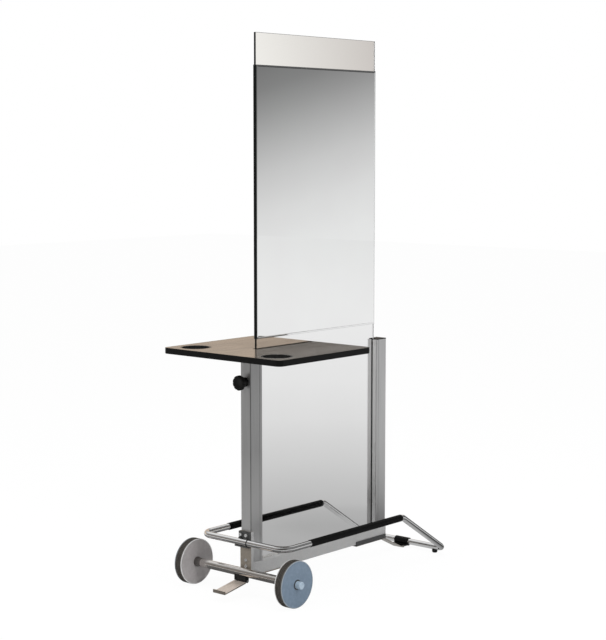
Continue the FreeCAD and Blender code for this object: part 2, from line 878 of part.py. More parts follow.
def make_pedal():
    # Eye round the pin, a flat strap running forward and down, and a turned-up lip.
    pivot = pedal_pivot()
    reach = -pedal_reach
    eye_half = pedal_eye_half()
    eye = rod(V(-eye_half, pivot.y, pivot.z), V(1, 0, 0), pedal_eye / 2, 2 * eye_half)
    root_y = pivot.y - pedal_eye / 2 - pedal_neck_gap
    tip_z = pedal_tip_height
    t = pedal_thickness
    root_z = pivot.z - pedal_eye / 2
    neck = box(-eye_half, eye_half, root_y - t, pivot.y, root_z, root_z + t)
    lip_top = tip_z + pedal_lip
    lip = [(reach, tip_z), (reach, lip_top), (reach + t, lip_top), (reach + t, tip_z + t)]
    outline = [(root_y, root_z), (reach + t, tip_z)] + lip + [(root_y, root_z + t)]
    half = pedal_width / 2
    strap = side_profile(outline, -half, half)
    bore = rod(V(-half, pivot.y, pivot.z), V(1, 0, 0), pedal_pin_diameter / 2 + running_fit, pedal_width)
    return fuse([eye, neck, strap]).cut(bore)


def make_pedal_springs():
    # Closed coils round the pin, each drawn as touching rings on one bore.
    pivot = pedal_pivot()
    bore = pedal_pin_diameter / 2 + spring_bore_gap
    ridge = spring_wire / 2
    start = pedal_eye_half() + ridge
    end = start + spring_wire * spring_turns
    low = pivot.z + bore
    middle = low + ridge
    edges = []
    for i in range(spring_turns):
        left, top, right = [start + (i + part) * spring_wire for part in (0, 0.5, 1)]
        crown = V(top, pivot.y, middle + ridge)
        edges.append(Part.Arc(V(left, pivot.y, middle), crown, V(right, pivot.y, middle)).toShape())
    places = [(end, middle), (end, low), (start, low), (start, middle)]
    corners = [V(x, pivot.y, z) for x, z in places]
    for first, second in zip(corners, corners[1:]):
        edges.append(Part.LineSegment(first, second).toShape())
    coil = Part.Face(Part.Wire(edges)).revolve(pivot, V(1, 0, 0), 360)
    return Part.makeCompound([coil, mirrored(coil)])


# ---------------------------------------------------------------- table
def table_outline_solid(inset, z0, z1):
    half = table_width / 2 - inset
    slab = box(-half, half, -table_front + inset, table_rear - inset, z0, z1)
    return slab.makeFillet(table_corner - inset, vertical_edges(slab))


def table_slot():
    low = table_bottom - 2 * bracket_plate
    return box(-slot_half, slot_half, -slot_clearance, table_rear + 1, low, table_height + 1)


def make_table_board():
    board = table_outline_solid(edging_thickness, table_bottom, table_height).cut(table_slot())
    hole = holder_hole / 2 + ring_wall
    rebate = table_height - ring_lip
    for side in sides.values():
        board = board.cut(rod_z(side * holder_x, holder_y, table_bottom - 1, table_height + 1, hole))
        board = board.cut(rod_z(side * holder_x, holder_y, rebate, table_height + 1, hole + ring_flange))
    for x, y in table_screw_places():
        board = board.cut(rod_z(x, y, table_bottom - 1, table_screw_top(), screw_diameter / 2))
    return board


def make_table_edging():
    outer = table_outline_solid(0, table_bottom, table_height)
    outer = outer.makeFillet(edging_rounding, [e for e in outer.Edges if e.BoundBox.ZLength < 1e-6])
    inner = table_outline_solid(edging_thickness, table_bottom - 1, table_height + 1)
    return outer.cut(inner).cut(table_slot())


def make_holder_ring(side):
    # A sleeve through the board; its flange lies flush in a rebate.
    x = side * holder_x
    wall = holder_hole / 2 + ring_wall
    ring = rod_z(x, holder_y, table_bottom, table_height, wall)
    flange = rod_z(x, holder_y, table_height - ring_lip, table_height, wall + ring_flange)
    return fuse([ring, flange]).cut(rod_z(x, holder_y, table_bottom - 1, table_height + 1, holder_hole / 2))


def make_table_bracket():
    # Plate with a slot for the glass, welded to a box stem that stands in the front post.
    z0 = table_bottom - bracket_plate
    wide = bracket_half_width
    plate = box(-wide, wide, -bracket_front, bracket_rear, z0, table_bottom)
    plate = plate.makeFillet(bracket_corner, vertical_edges(plate)).cut(table_slot())
    for x, y in table_screw_places():
        plate = plate.cut(rod_z(x, y, z0 - 1, table_bottom + 1, screw_diameter / 2 + bolt_clearance))
    stem = stem_solid(0, z0 - stem_length, z0)
    return fuse([plate, stem.cut(stem_solid(-stem_wall, z0 - stem_length, z0))])


def stem_solid(grow, z0, z1):
    half = stem_width / 2 + grow
    deep = stem_depth / 2 + grow
    y = stem_centre()
    return box(-half, half, y - deep, y + deep, z0, z1)


def stem_centre():
    return stem_front + stem_depth / 2


def table_screw_places():
    inset = screw_inset
    rows = (-bracket_front + inset, (bracket_rear - bracket_front) / 2, bracket_rear - inset)
    return [(side * (bracket_half_width - inset), y) for side in (1, -1) for y in rows]


def table_screw_top():
    return table_bottom - bracket_plate + screw_length


def make_table_screws():
    seat = table_bottom - bracket_plate
    screws = []
    for x, y in table_screw_places():
        head = rod_z(x, y, seat - screw_head_height, seat, screw_head / 2)
        screws.append(fuse([head, rod_z(x, y, seat, table_screw_top(), screw_diameter / 2)]))
    return Part.makeCompound(screws)


def make_stem_guides():
    # Two plastic sleeves fixed in the post; the stem slides through them.
    half = front_post_width / 2 - post_wall
    y0 = front_post_front + post_wall
    y1 = -gasket_thickness - post_wall
    guides = []
    for top in (post_top, knob_height - nut_width / 2 - guide_gap):
        z0 = top - guide_height
        guides.append(box(-half, half, y0, y1, z0, top).cut(stem_solid(stem_clearance, z0 - 1, top + 1)))
    return Part.makeCompound(guides)


# ---------------------------------------------------------------- clamp knob
def make_knob_nut():
    # Threaded plate inside the post wall that the stud runs in.
    half = nut_width / 2
    y0 = front_post_front + post_wall
    plate = box(-half, half, y0, y0 + nut_thickness, knob_height - half, knob_height + half)
    bore = stud_diameter / 2 + thread_clearance
    return plate.cut(rod_y(0, knob_height, y0 - 1, y0 + nut_thickness + 1, bore))


def make_knob_stud():
    return rod_y(0, knob_height, stud_start(), stem_front - stud_tip_gap, stud_diameter / 2)


def stud_start():
    return front_post_front - knob_standoff - knob_thickness + knob_skin


def make_clamp_knob():
    face = front_post_front - knob_washer_thickness
    back = front_post_front - knob_standoff
    front = back - knob_thickness
    head = rod_y(0, knob_height, front, back, knob_diameter / 2)
    reach = knob_diameter / 2 + knob_lobe_cut - knob_lobe_depth
    for i in range(knob_lobes):
        angle = 2 * math.pi * i / knob_lobes
        x = reach * math.cos(angle)
        z = knob_height + reach * math.sin(angle)
        head = head.cut(rod_y(x, z, front - 1, back + 1, knob_lobe_cut))
    head = head.makeFillet(knob_rounding, [e for e in head.Edges if e.BoundBox.YMax < front + 0.01])
    neck = rod_y(0, knob_height, back, face, knob_neck / 2)
    return fuse([head, neck]).cut(rod_y(0, knob_height, stud_start(), face + 1, stud_diameter / 2))


def make_knob_washer():
    start = V(0, front_post_front - knob_washer_thickness, knob_height)
    washer = rod(start, V(0, 1, 0), knob_neck / 2 + 1, knob_washer_thickness)
    return washer.cut(rod(start, V(0, 1, 0), stud_diameter / 2 + running_fit, knob_washer_thickness))


# ---------------------------------------------------------------- all nodes
def all_nodes():
    nodes = {
        "glass_sheet": make_glass_sheet(),
        "mirror_tapes": make_mirror_tapes(),
        "front_post": make_front_post(),
        "rear_post": make_rear_post(),
        "front_gasket": make_front_gasket(),
        "rear_gasket": make_rear_gasket(),
        "rear_post_cap": make_rear_post_cap(),
        "post_plugs": make_post_plugs(),
        "base_rail": make_base_rail(),
        "rail_end_cap": make_rail_end_cap(),
        "front_bracket": make_front_bracket(),
        "frame_bolts": make_frame_bolts(),
        "crossbar_mount": make_crossbar_mount(),
        "crossbar_keepers": make_crossbar_keepers(),
        "joint_ring": make_joint_ring(),
        "footrest_joiners": make_footrest_joiners(),
        "rear_shoe": make_rear_shoe(),
        "rear_strap": make_rear_strap(),
        "tube_clamp": make_tube_clamp(),
        "clamp_bolts": make_clamp_bolts(),
        "axle_tube": make_axle_tube(),
        "axle_shaft": make_axle_shaft(),
        "axle_collars": make_axle_collars(),
        "axle_cradle": make_axle_cradle(),
        "pedal": make_pedal(),
        "pedal_pin": make_pedal_pin(),
        "pedal_springs": make_pedal_springs(),
        "table_board": make_table_board(),
        "table_edging": make_table_edging(),
        "table_bracket": make_table_bracket(),
        "table_screws": make_table_screws(),
        "stem_guides": make_stem_guides(),
        "clamp_knob": make_clamp_knob(),
        "knob_stud": make_knob_stud(),
        "knob_washer": make_knob_washer(),
        "knob_nut": make_knob_nut(),
    }
    for name, side in sides.items():
        nodes["mirror_" + name] = make_mirror(side)
        nodes["footrest_tube_" + name] = make_footrest_tube(side)
        nodes["footrest_sleeve_" + name] = make_footrest_sleeve(side)
        nodes["rear_foot_" + name] = make_rear_foot(side)
        nodes["tyre_" + name] = make_tyre(side)
        nodes["wheel_core_" + name] = make_wheel_core(side)
        nodes["wheel_disc_outer_" + name] = make_wheel_disc(side, 1)
        nodes["wheel_disc_inner_" + name] = make_wheel_disc(side, -1)
        nodes["wheel_bushes_" + name] = make_wheel_bushes(side)
        nodes["hub_cap_" + name] = make_hub_cap(side)
        nodes["holder_ring_" + name] = make_holder_ring(side)
    return nodes


os.makedirs("parts", exist_ok=True)
origin_y = (clamp_rear() - pedal_reach) / 2
for node, shape in all_nodes().items():
    shape.translate(V(0, -origin_y, 0))
    shape.exportStep("parts/" + node + ".step")
    edge_box = shape.BoundBox
    lowest = (round(edge_box.XMin, 2), round(edge_box.YMin, 2), round(edge_box.ZMin, 2))
    highest = (round(edge_box.XMax, 2), round(edge_box.YMax, 2), round(edge_box.ZMax, 2))
    print(node, len(shape.Solids), shape.isValid(), round(shape.Volume, 1), lowest, highest)
print("origin_y", origin_y)
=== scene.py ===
# %% [markdown]
# # A double sided salon station
# One sheet of clear glass stands upright in two aluminium posts, with a mirror on each face.
# A table hangs on the front post, and a chromed footrest loop runs round the foot.
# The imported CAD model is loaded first. It is the fixed frame, and every piece rides on it.

# %% Load the frame
import math
import bmesh
import bpy
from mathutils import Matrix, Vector


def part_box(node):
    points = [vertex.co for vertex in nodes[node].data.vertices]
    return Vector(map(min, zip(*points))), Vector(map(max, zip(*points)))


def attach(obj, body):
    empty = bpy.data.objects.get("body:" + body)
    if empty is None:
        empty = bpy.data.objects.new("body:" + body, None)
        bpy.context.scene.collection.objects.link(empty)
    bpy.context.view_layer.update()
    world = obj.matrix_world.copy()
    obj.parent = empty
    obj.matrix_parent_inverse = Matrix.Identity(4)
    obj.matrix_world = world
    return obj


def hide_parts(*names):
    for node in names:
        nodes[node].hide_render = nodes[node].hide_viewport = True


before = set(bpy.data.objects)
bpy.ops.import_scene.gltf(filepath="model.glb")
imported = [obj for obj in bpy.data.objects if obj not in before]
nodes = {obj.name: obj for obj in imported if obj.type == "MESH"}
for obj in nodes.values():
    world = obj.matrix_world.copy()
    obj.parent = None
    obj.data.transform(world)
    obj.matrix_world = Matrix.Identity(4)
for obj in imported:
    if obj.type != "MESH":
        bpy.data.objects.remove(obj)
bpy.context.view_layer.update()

MM = 0.001

# %% [markdown]
# The camera comes first, because every later choice is judged through it. It stands about
# five metres from the station, a little lower than the top of the glass, and looks slightly
# down. A long lens keeps the posts nearly parallel.

# %% Camera
camera_data = bpy.data.cameras.new("station_camera")
camera_data.lens = 90.48
camera_data.sensor_width = 36.0
camera = bpy.data.objects.new("station_camera", camera_data)
camera.location = (3.58908, -4.23140, 1.48611)
camera.rotation_euler = (math.radians(83.89), 0.0, math.radians(40.88))
scene = bpy.context.scene
scene.collection.objects.link(camera)
scene.camera = camera
scene.view_settings.view_transform = "Standard"
print("camera", tuple(camera.location), "lens", camera_data.lens)

# %% [markdown]
# Materials and growing shapes are small node trees, so a few helpers build their common
# parts. Each pattern reads Object coordinates in metres. A finished piece's object sits at
# the origin, so the pattern stays on the piece wherever it moves.

# %% Helpers for node trees
def feed(tree, node, inputs):
    # Each input gets a number or another node's output.
    for label, value in inputs.items():
        if isinstance(value, bpy.types.NodeSocket):
            tree.links.new(value, node.inputs[label])
        else:
            node.inputs[label].default_value = value


def step(tree, kind, inputs=None, **settings):
    # One new node with its settings and inputs. It gives back the node's first output.
    node = tree.nodes.new(kind)
    for key, value in settings.items():
        setattr(node, key, value)
    feed(tree, node, inputs or {})
    return node.outputs[0] if node.outputs else node


def maths(tree, kind, *values):
    return step(tree, "ShaderNodeMath", dict(enumerate(values)), operation=kind)


def object_place(tree):
    return step(tree, "ShaderNodeTexCoord").node.outputs["Object"]


def noise(tree, scale, stretch=(1, 1, 1), detail=3.0):
    # Stretch under 1 draws the pattern out along that axis.
    place = step(tree, "ShaderNodeMapping", {"Vector": object_place(tree), "Scale": stretch})
    return step(tree, "ShaderNodeTexNoise", {"Vector": place, "Scale": scale, "Detail": detail})


def spread(tree, value, low, high, start=0.35, end=0.65):
    # Maps start..end onto low..high. The usual start and end are the middle of a noise.
    return step(tree, "ShaderNodeMapRange", {
        "Value": value, "From Min": start, "From Max": end, "To Min": low, "To Max": high})


def rgba(tone):
    # A grey is written as one number and a colour as three. Sockets pass through.
    if isinstance(tone, bpy.types.NodeSocket):
        return tone
    return (*tone, 1.0) if isinstance(tone, tuple) else (tone, tone, tone, 1.0)


def blend(tree, share, first, second):
    # The Mix node keeps its colours in inputs 6 and 7 and its mixed colour in output 2.
    sockets = {0: share, 6: rgba(first), 7: rgba(second)}
    return step(tree, "ShaderNodeMix", sockets, data_type="RGBA").node.outputs[2]


def tones(tree, value, *stops):
    # A ramp of (place, tone) stops.
    colour = step(tree, "ShaderNodeValToRGB", {"Fac": value})
    elements = colour.node.color_ramp.elements
    while len(elements) < len(stops):
        elements.new(0.5)
    for element, (place, tone) in zip(elements, stops):
        element.position = place
        element.color = rgba(tone)
    return colour


def empty_material(name):
    material = bpy.data.materials.new(name)
    material.use_nodes = True
    material.node_tree.nodes.clear()
    return material, material.node_tree


def material_tree(name):
    material, tree = empty_material(name)
    shader = tree.nodes.new("ShaderNodeBsdfPrincipled")
    output = step(tree, "ShaderNodeOutputMaterial", {"Surface": shader.outputs["BSDF"]})
    return material, tree, shader, output


def finish(name, tone, other, rough, scale, metallic=0.0, stretch=(1, 1, 1), relief=0.1,
           depth=0.0002, specular=0.5):
    # The common finish: two close tones, a roughness that wanders and a little relief.
    material, tree, shader, output = material_tree(name)
    colour = blend(tree, spread(tree, noise(tree, scale, stretch), 0, 1), tone, other)
    fine = noise(tree, scale * 6, stretch, 2.0)
    feed(tree, shader, {
        "Base Color": colour, "Metallic": metallic, "Specular IOR Level": specular,
        "Roughness": spread(tree, noise(tree, scale * 0.3, stretch), *rough),
        "Normal": step(tree, "ShaderNodeBump",
                       {"Height": fine, "Strength": relief, "Distance": depth})})
    return material


print("node helpers ready")

# %% [markdown]
# The studio is plain. The camera sees a white world and a nearly white floor that keeps a
# faint shadow. Glass and metal need something to show, so the rays that they send out meet
# the studio's real tones: a backdrop that greys towards the top on one side, and a warm
# pale wall on the other. Only the direction of the ray decides the tone.

# %% World
world = bpy.data.worlds.new("studio")
scene.world = world
world.use_nodes = True
sky = world.node_tree
sky.nodes.clear()
direction = step(sky, "ShaderNodeTexCoord")
ray_x, ray_y, ray_z = step(sky, "ShaderNodeSeparateXYZ", {"Vector": direction}).node.outputs
rays = step(sky, "ShaderNodeLightPath").node.outputs

# The height of a ray, from -1 straight down to 1 straight up, is shifted a little with x,
# so that the backdrop is lighter to one side. It is then spread over 0..1 for the ramp.
backdrop_middle = 0.65
sideways = maths(sky, "SUBTRACT", maths(sky, "MINIMUM", ray_x, 0.70), backdrop_middle)
shifted = maths(sky, "ADD", ray_z, maths(sky, "MULTIPLY", sideways, 0.45))
near_height = maths(sky, "MULTIPLY_ADD", shifted, 2.0, 0.5)
near_wall = tones(
    sky, near_height, (0.00, 0.80), (0.31, 0.86), (0.386, 0.81), (0.436, 0.73), (0.486, 0.60),
    (0.528, 0.45), (0.564, 0.32), (0.592, 0.234), (0.66, 0.14), (0.80, 0.09), (1.00, 0.18))
far_height = maths(sky, "MULTIPLY_ADD", ray_z, 0.5, 0.5)
far_wall = tones(
    sky, far_height, (0.00, 0.60), (0.45, 0.80), (0.53, (0.80, 0.65, 0.51)),
    (0.60, (0.57, 0.45, 0.35)), (0.70, 0.45), (0.85, 0.82), (1.00, 0.85))
reflected = blend(sky, spread(sky, ray_x, 0.0, 1.0, -0.15, 0.25), far_wall, near_wall)
# The wheel end faces a dim brown room under a pale ceiling. It draws dark lines in chrome.
dark_end = tones(
    sky, far_height, (0.00, 0.30), (0.35, (0.10, 0.09, 0.08)), (0.50, (0.05, 0.045, 0.04)),
    (0.66, (0.05, 0.045, 0.04)), (0.84, 0.06), (1.00, 0.55))
brown_end = tones(
    sky, far_height, (0.00, 0.30), (0.35, (0.26, 0.23, 0.20)), (0.50, (0.20, 0.175, 0.155)),
    (0.64, (0.20, 0.18, 0.165)), (0.80, 0.28), (0.88, 0.50), (1.00, 0.65))
dim_room = blend(sky, spread(sky, ray_x, 0.0, 1.0, -0.30, 0.30), brown_end, dark_end)
reflected = blend(sky, spread(sky, ray_y, 1.0, 0.0, -0.45, -0.10), reflected, dim_room)
# The rear end of the room is dark, and outlines the tubes.
reflected = blend(sky, spread(sky, ray_y, 0.0, 1.0, 0.84, 0.90), reflected, 0.14)
# Straight through the glass the wall is pale, and dim above the height of the eyes.
across = spread(sky, ray_x, 0.0, 1.0, -0.676, -0.620)
through = blend(sky, across, (0.93, 0.915, 0.875), (0.63, 0.595, 0.565))
above = spread(sky, ray_z, 0.0, 1.0, 0.075, 0.095)
through = blend(sky, above, through, (0.10, 0.095, 0.09))
lit = blend(sky, rays["Is Glossy Ray"], 0.72, reflected)
lit = blend(sky, rays["Is Transmission Ray"], lit, through)
lit = blend(sky, rays["Is Camera Ray"], lit, 1.0)
step(sky, "ShaderNodeOutputWorld", {"Surface": step(sky, "ShaderNodeBackground", {"Color": lit})})
print("world with", len(sky.nodes), "nodes")

# %% [markdown]
# The floor is a wide pale sheet. For the camera most of it glows white, so that only a faint
# contact shadow is left. Through the glass and in metal it glows with a painted tone instead,
# darker near the station as a painted shade and lighter towards the wall.

# %% Floor
floor_mesh = bpy.data.meshes.new("studio_floor")
floor_half = 16.0
floor_corners = [(-floor_half, -floor_half, 0), (floor_half, -floor_half, 0),
                 (floor_half, floor_half, 0), (-floor_half, floor_half, 0)]
floor_mesh.from_pydata(floor_corners, [], [(0, 1, 2, 3)])
floor = bpy.data.objects.new("studio_floor", floor_mesh)
floor.location.z = -0.0005
scene.collection.objects.link(floor)

floor_material, ground = empty_material("pale_floor")
floor_place = object_place(ground)
floor_rays = step(ground, "ShaderNodeLightPath").node.outputs
ramp_reach = 20.0


def share_of_way(point, start, end):
    # How far a place on the floor lies from a point, as a share of start..end metres.
    away = step(ground, "ShaderNodeVectorMath", {0: floor_place, 1: point}, operation="DISTANCE")
    return spread(ground, away.node.outputs["Value"], 0.0, 1.0, start, end)


# What metal sees of the floor glows darker near the station: a painted shade.
in_metal = tones(
    ground, share_of_way((0.0, -0.42, 0.0), 0.0, ramp_reach), (0.00, 0.10), (0.020, 0.14),
    (0.030, 0.26), (0.045, 0.50), (0.136, 0.74), (0.22, 0.84), (0.45, 0.865), (0.62, 0.85),
    (0.78, 0.825), (1.00, 0.80))
# A darker patch of that glow behind the station, a painted shade, draws the dark line along the
# footrest's falling legs.
dark_patch_share = share_of_way((0.41, 0.65, 0.0), 0.20, 0.34)
in_metal = blend(ground, dark_patch_share, 0.06, in_metal)
through_glass = tones(
    ground, share_of_way((0.0, 0.0, 0.0), 0.0, ramp_reach), (0.00, 0.42), (0.035, 0.43),
    (0.058, 0.505), (0.10, 0.61), (0.16, 0.72), (0.235, 0.785), (0.45, 0.83), (0.78, 0.825),
    (1.00, 0.80))
floor_tone = blend(ground, floor_rays["Is Transmission Ray"], in_metal, through_glass)
floor_tone = blend(ground, floor_rays["Is Camera Ray"], floor_tone, 1.0)
camera_glow = maths(ground, "MULTIPLY", floor_rays["Is Camera Ray"], 0.955)
other_glow = maths(ground, "MAXIMUM", floor_rays["Is Glossy Ray"],
                   floor_rays["Is Transmission Ray"])
matt = step(ground, "ShaderNodeBsdfDiffuse", {"Color": rgba(0.92)})
glow = step(ground, "ShaderNodeEmission", {"Color": floor_tone})
floor_look = step(ground, "ShaderNodeMixShader",
                  {0: maths(ground, "MAXIMUM", camera_glow, other_glow), 1: matt, 2: glow})
step(ground, "ShaderNodeOutputMaterial", {"Surface": floor_look})
floor_mesh.materials.append(floor_material)
print("floor", 2 * floor_half, "m wide")

# %% [markdown]
# Three soft lamps light the station at a plain level. The big one overhead gives tubes and
# edges their light upper line. Two weaker ones fill the front and the near side. Metal
# doesn't show them, so they leave no white bands.

# %% Lamps
station_middle = Vector((0.0, 0.0, 0.9))


def soft_lamp(name, place, size, power):
    data = bpy.data.lights.new(name, "AREA")
    data.size = size
    data.energy = power
    lamp = bpy.data.objects.new(name, data)
    lamp.location = place
    aim = station_middle - Vector(place)
    lamp.rotation_euler = aim.to_track_quat("-Z", "Y").to_euler()
    lamp.visible_glossy = False
    scene.collection.objects.link(lamp)
    return lamp


lamps = [soft_lamp("overhead_lamp", (0.6, -0.8, 4.2), 3.0, 90.0),
         soft_lamp("front_lamp", (-1.8, -4.2, 2.6), 2.4, 60.0),
         soft_lamp("near_side_lamp", (4.2, -0.6, 2.8), 2.4, 60.0)]
print("lamps", [lamp.name for lamp in lamps])

# %% [markdown]
# The finishes. Metals get their detail from drawn lines and a roughness that wanders, paint
# and plastic from a fine orange peel. Every tone is written as it should look in plain
# light: a grey as one number, a colour as three.

# %% Metal finishes
def drawn_metal(name, tone, other, rough, along="Z", metallic=1.0):
    # Fine lines along the direction in which the profile was drawn or ground.
    stretch = tuple(0.01 if axis == along else 1.0 for axis in "XYZ")
    return finish(name, tone, other, rough, 900, metallic, stretch, 0.06, 0.00005)


def lighter_foot(material, lighter):
    # A post brightens towards its foot, over this range of height, where the floor lights it.
    foot_low, foot_high = 0.10, 0.48
    tree = material.node_tree
    shader = next(n for n in tree.nodes if n.type == "BSDF_PRINCIPLED")
    colour = shader.inputs["Base Color"].links[0].from_socket
    split = step(tree, "ShaderNodeSeparateXYZ", {"Vector": object_place(tree)})
    share = spread(tree, split.node.outputs["Z"], 1.0, 0.0, foot_low, foot_high)
    feed(tree, shader, {"Base Color": blend(tree, share, colour, lighter)})


anodised = (0.30, 0.42)
anodised_round = (0.35, 0.45)
# One anodised aluminium in lit and shaded copies: the front post's darker tone is painted shade,
# the rear post's lighter tone painted light.
front_post_shaded_metal = drawn_metal("front_post_anodised_painted_shade", 0.305, 0.345, anodised, metallic=0.82)
lighter_foot(front_post_shaded_metal, 0.60)
rear_post_lit_metal = drawn_metal("rear_post_anodised_painted_light", 0.55, 0.60, anodised)
# The rear post's front lips get a lighter copy, a painted light; the rounded corners get a darker
# copy, a painted shade.
post_lip_painted_light = drawn_metal("post_lip_anodised_painted_light", 0.66, 0.72, anodised)
post_round_painted_shade = drawn_metal("post_round_anodised_painted_shade", 0.19, 0.23, anodised_round)
lighter_foot(post_round_painted_shade, 0.40)
rear_round_painted_shade = drawn_metal("rear_round_anodised_painted_shade", 0.38, 0.43, anodised_round)
plain_aluminium = drawn_metal("plain_aluminium", 0.50, 0.60, (0.30, 0.45), "X")
strap_metal = drawn_metal("strap_zinc", (0.50, 0.47, 0.43), (0.62, 0.58, 0.53), (0.25, 0.40), "Y")
pedal_metal = drawn_metal("pedal_bare_steel", (0.84, 0.73, 0.64), (0.90, 0.80, 0.71),
                          (0.30, 0.42), "Y", 0.7)
pedal_edge = finish("pedal_cut_edge", (0.20, 0.175, 0.15), (0.26, 0.23, 0.20),
                    (0.3, 0.45), 160, 0.6)
zinc = finish("zinc_plate", 0.42, 0.52, (0.28, 0.42), 220, 1.0)
# A lighter copy of the zinc for the frame bolts' heads: a painted highlight.
zinc_painted_highlight = finish("zinc_painted_highlight", 0.78, 0.88, (0.15, 0.25), 220, 0.8)
chrome = finish("bright_chrome", 0.86, 0.90, (0.04, 0.10), 30, 1.0, relief=0.02, depth=0.00005)
axle_chrome = finish("axle_chrome", (0.74, 0.71, 0.68), (0.80, 0.77, 0.74), (0.12, 0.22),
                     60, 1.0, relief=0.03, depth=0.00005)
dark_steel = finish("dark_powder_coat", 0.045, 0.06, (0.35, 0.5), 160, relief=0.25, specular=0.3)
bracket_coat = finish("bracket_grey_coat", (0.215, 0.188, 0.158), (0.250, 0.220, 0.182),
                      (0.35, 0.5), 160, 0.1, relief=0.2, specular=0.3)
black_steel = finish("black_oxide", 0.010, 0.018, (0.4, 0.6), 160, relief=0.2, specular=0.2)
# The rail's grey; on the bracket's near flange faces it is a painted light.
rail_paint_and_flange_light = finish("rail_grey_paint_and_flange_light", 0.435, 0.475, (0.32, 0.42), 240, 0.25, relief=0.18)
# A lighter copy of the rail's paint for its upper face: a painted light.
rail_top_painted_light = finish("rail_top_painted_light", 0.62, 0.68, (0.35, 0.45), 240, relief=0.18)
collar_brown = finish("axle_collar_brown", (0.07, 0.062, 0.058), (0.09, 0.082, 0.078),
                      (0.35, 0.45), 160, 0.1)
print("metal finishes", len(bpy.data.materials))

# %% Plastic, rubber, laminate and glass finishes
black_plastic = finish("black_moulding", 0.003, 0.006, (0.35, 0.5), 300,
                       relief=0.25, specular=0.12)
ring_plastic = finish("ring_moulding", 0.006, 0.011, (0.2, 0.3), 200, relief=0.05, specular=0.2)
white_plastic = finish("natural_acetal", 0.70, 0.76, (0.35, 0.5), 120)
bush_plastic = finish("dark_bush", 0.03, 0.05, (0.4, 0.5), 120)
black_rubber = finish("black_rubber", 0.008, 0.015, (0.6, 0.8), 400, relief=0.4, specular=0.2)
sleeve_rubber = finish("sleeve_rubber", 0.003, 0.006, (0.45, 0.6), 350,
                       relief=0.2, specular=0.1)
tape_rubber = finish("mounting_tape", 0.05, 0.09, (0.7, 0.9), 500, relief=0.5)
tyre_rubber = finish("tyre_rubber", (0.050, 0.045, 0.040), (0.075, 0.068, 0.060), (0.5, 0.7),
                     260, relief=0.4, specular=0.3)
disc_plastic = finish("disc_blue_grey", (0.140, 0.188, 0.245), (0.155, 0.205, 0.268),
                      (0.16, 0.26), 90, relief=0.06)
inner_disc_plastic = finish("disc_inner_grey", (0.34, 0.32, 0.32), (0.38, 0.36, 0.36),
                            (0.3, 0.4), 90, relief=0.06)
rim_plastic = finish("wheel_rim_grey", (0.21, 0.24, 0.27), (0.24, 0.27, 0.30), (0.3, 0.4), 90)
# The inner covers' pale rim is a painted highlight.
inner_rim_painted_highlight = finish("wheel_inner_rim_painted_highlight", 0.56, 0.62, (0.3, 0.4), 90)
cap_plastic = finish("hub_cap_grey", (0.30, 0.38, 0.46), (0.34, 0.42, 0.50), (0.2, 0.3), 90)
laminate = finish("table_laminate", (0.108, 0.091, 0.076), (0.130, 0.110, 0.092),
                  (0.12, 0.20), 180, stretch=(1, 0.15, 1), relief=0.05, depth=0.00003)
edge_band = finish("table_edge_band", 0.003, 0.005, (0.3, 0.42), 240, relief=0.1, specular=0.08)


def make_glass():
    # Clear float glass: light passes, and the long way through the sheet is dark green.
    material, tree, shader, output = material_tree("clear_float_glass")
    faint = spread(tree, noise(tree, 4.0), 0, 1)
    feed(tree, shader, {"IOR": 1.52, "Transmission Weight": 1.0, "Roughness": 0.0,
                        "Base Color": blend(tree, faint, 0.99, 1.0)})
    absorb = step(tree, "ShaderNodeVolumeAbsorption",
                  {"Color": (0.74, 0.78, 0.76, 1), "Density": 3.0})
    feed(tree, output, {"Volume": absorb})
    return material


def make_silver():
    # The silvered face of a mirror, with the faintest haze.
    material, tree, shader, output = material_tree("silvered_mirror")
    faint = spread(tree, noise(tree, 3.0), 0, 1)
    feed(tree, shader, {"Base Color": blend(tree, faint, 0.93, (0.95, 0.96, 0.955)),
                        "Roughness": spread(tree, noise(tree, 9.0), 0.004, 0.012),
                        "Metallic": 1.0})
    return material


clear_glass = make_glass()
silver = make_silver()
# Edge tones of the glass: painted shade in front and on top, painted light at the rear.
glass_front_edge_painted_shade = finish("glass_front_edge_painted_shade", (0.003, 0.004, 0.004), (0.005, 0.006, 0.006),
                          (0.4, 0.5), 60, relief=0.02, specular=0.1)
# The border line's painted reflection, in a dark and a pale copy.
bevel_painted_shade = finish("mirror_bevel_line", 0.05, 0.08, (0.1, 0.2), 60, 0.5, relief=0.02)
bevel_painted_light = finish("mirror_bevel_pale", 0.52, 0.58, (0.2, 0.3), 60, 0.2, relief=0.02)
glass_top_edge_painted_shade = finish("glass_top_edge_painted_shade", 0.01, 0.05, (0.3, 0.5), 60, relief=0.02, specular=0.2)
glass_rear_edge_painted_light = finish("glass_rear_edge_painted_light", 0.80, 0.88, (0.3, 0.5), 60,
                         relief=0.02, specular=0.2)
mirror_edge = finish("mirror_edge", (0.010, 0.012, 0.011), (0.016, 0.02, 0.018),
                     (0.12, 0.2), 80, relief=0.02)
mirror_back = finish("mirror_back_paint", 0.02, 0.03, (0.5, 0.6), 120)
print("finishes", len(bpy.data.materials))

# %% [markdown]
# Many CAD nodes already have the right shape, so they stay and get a finish in their
# material slots. This list goes from finish to nodes. Nodes that a better piece will
# stand for still get one, so nothing is ever left plain.

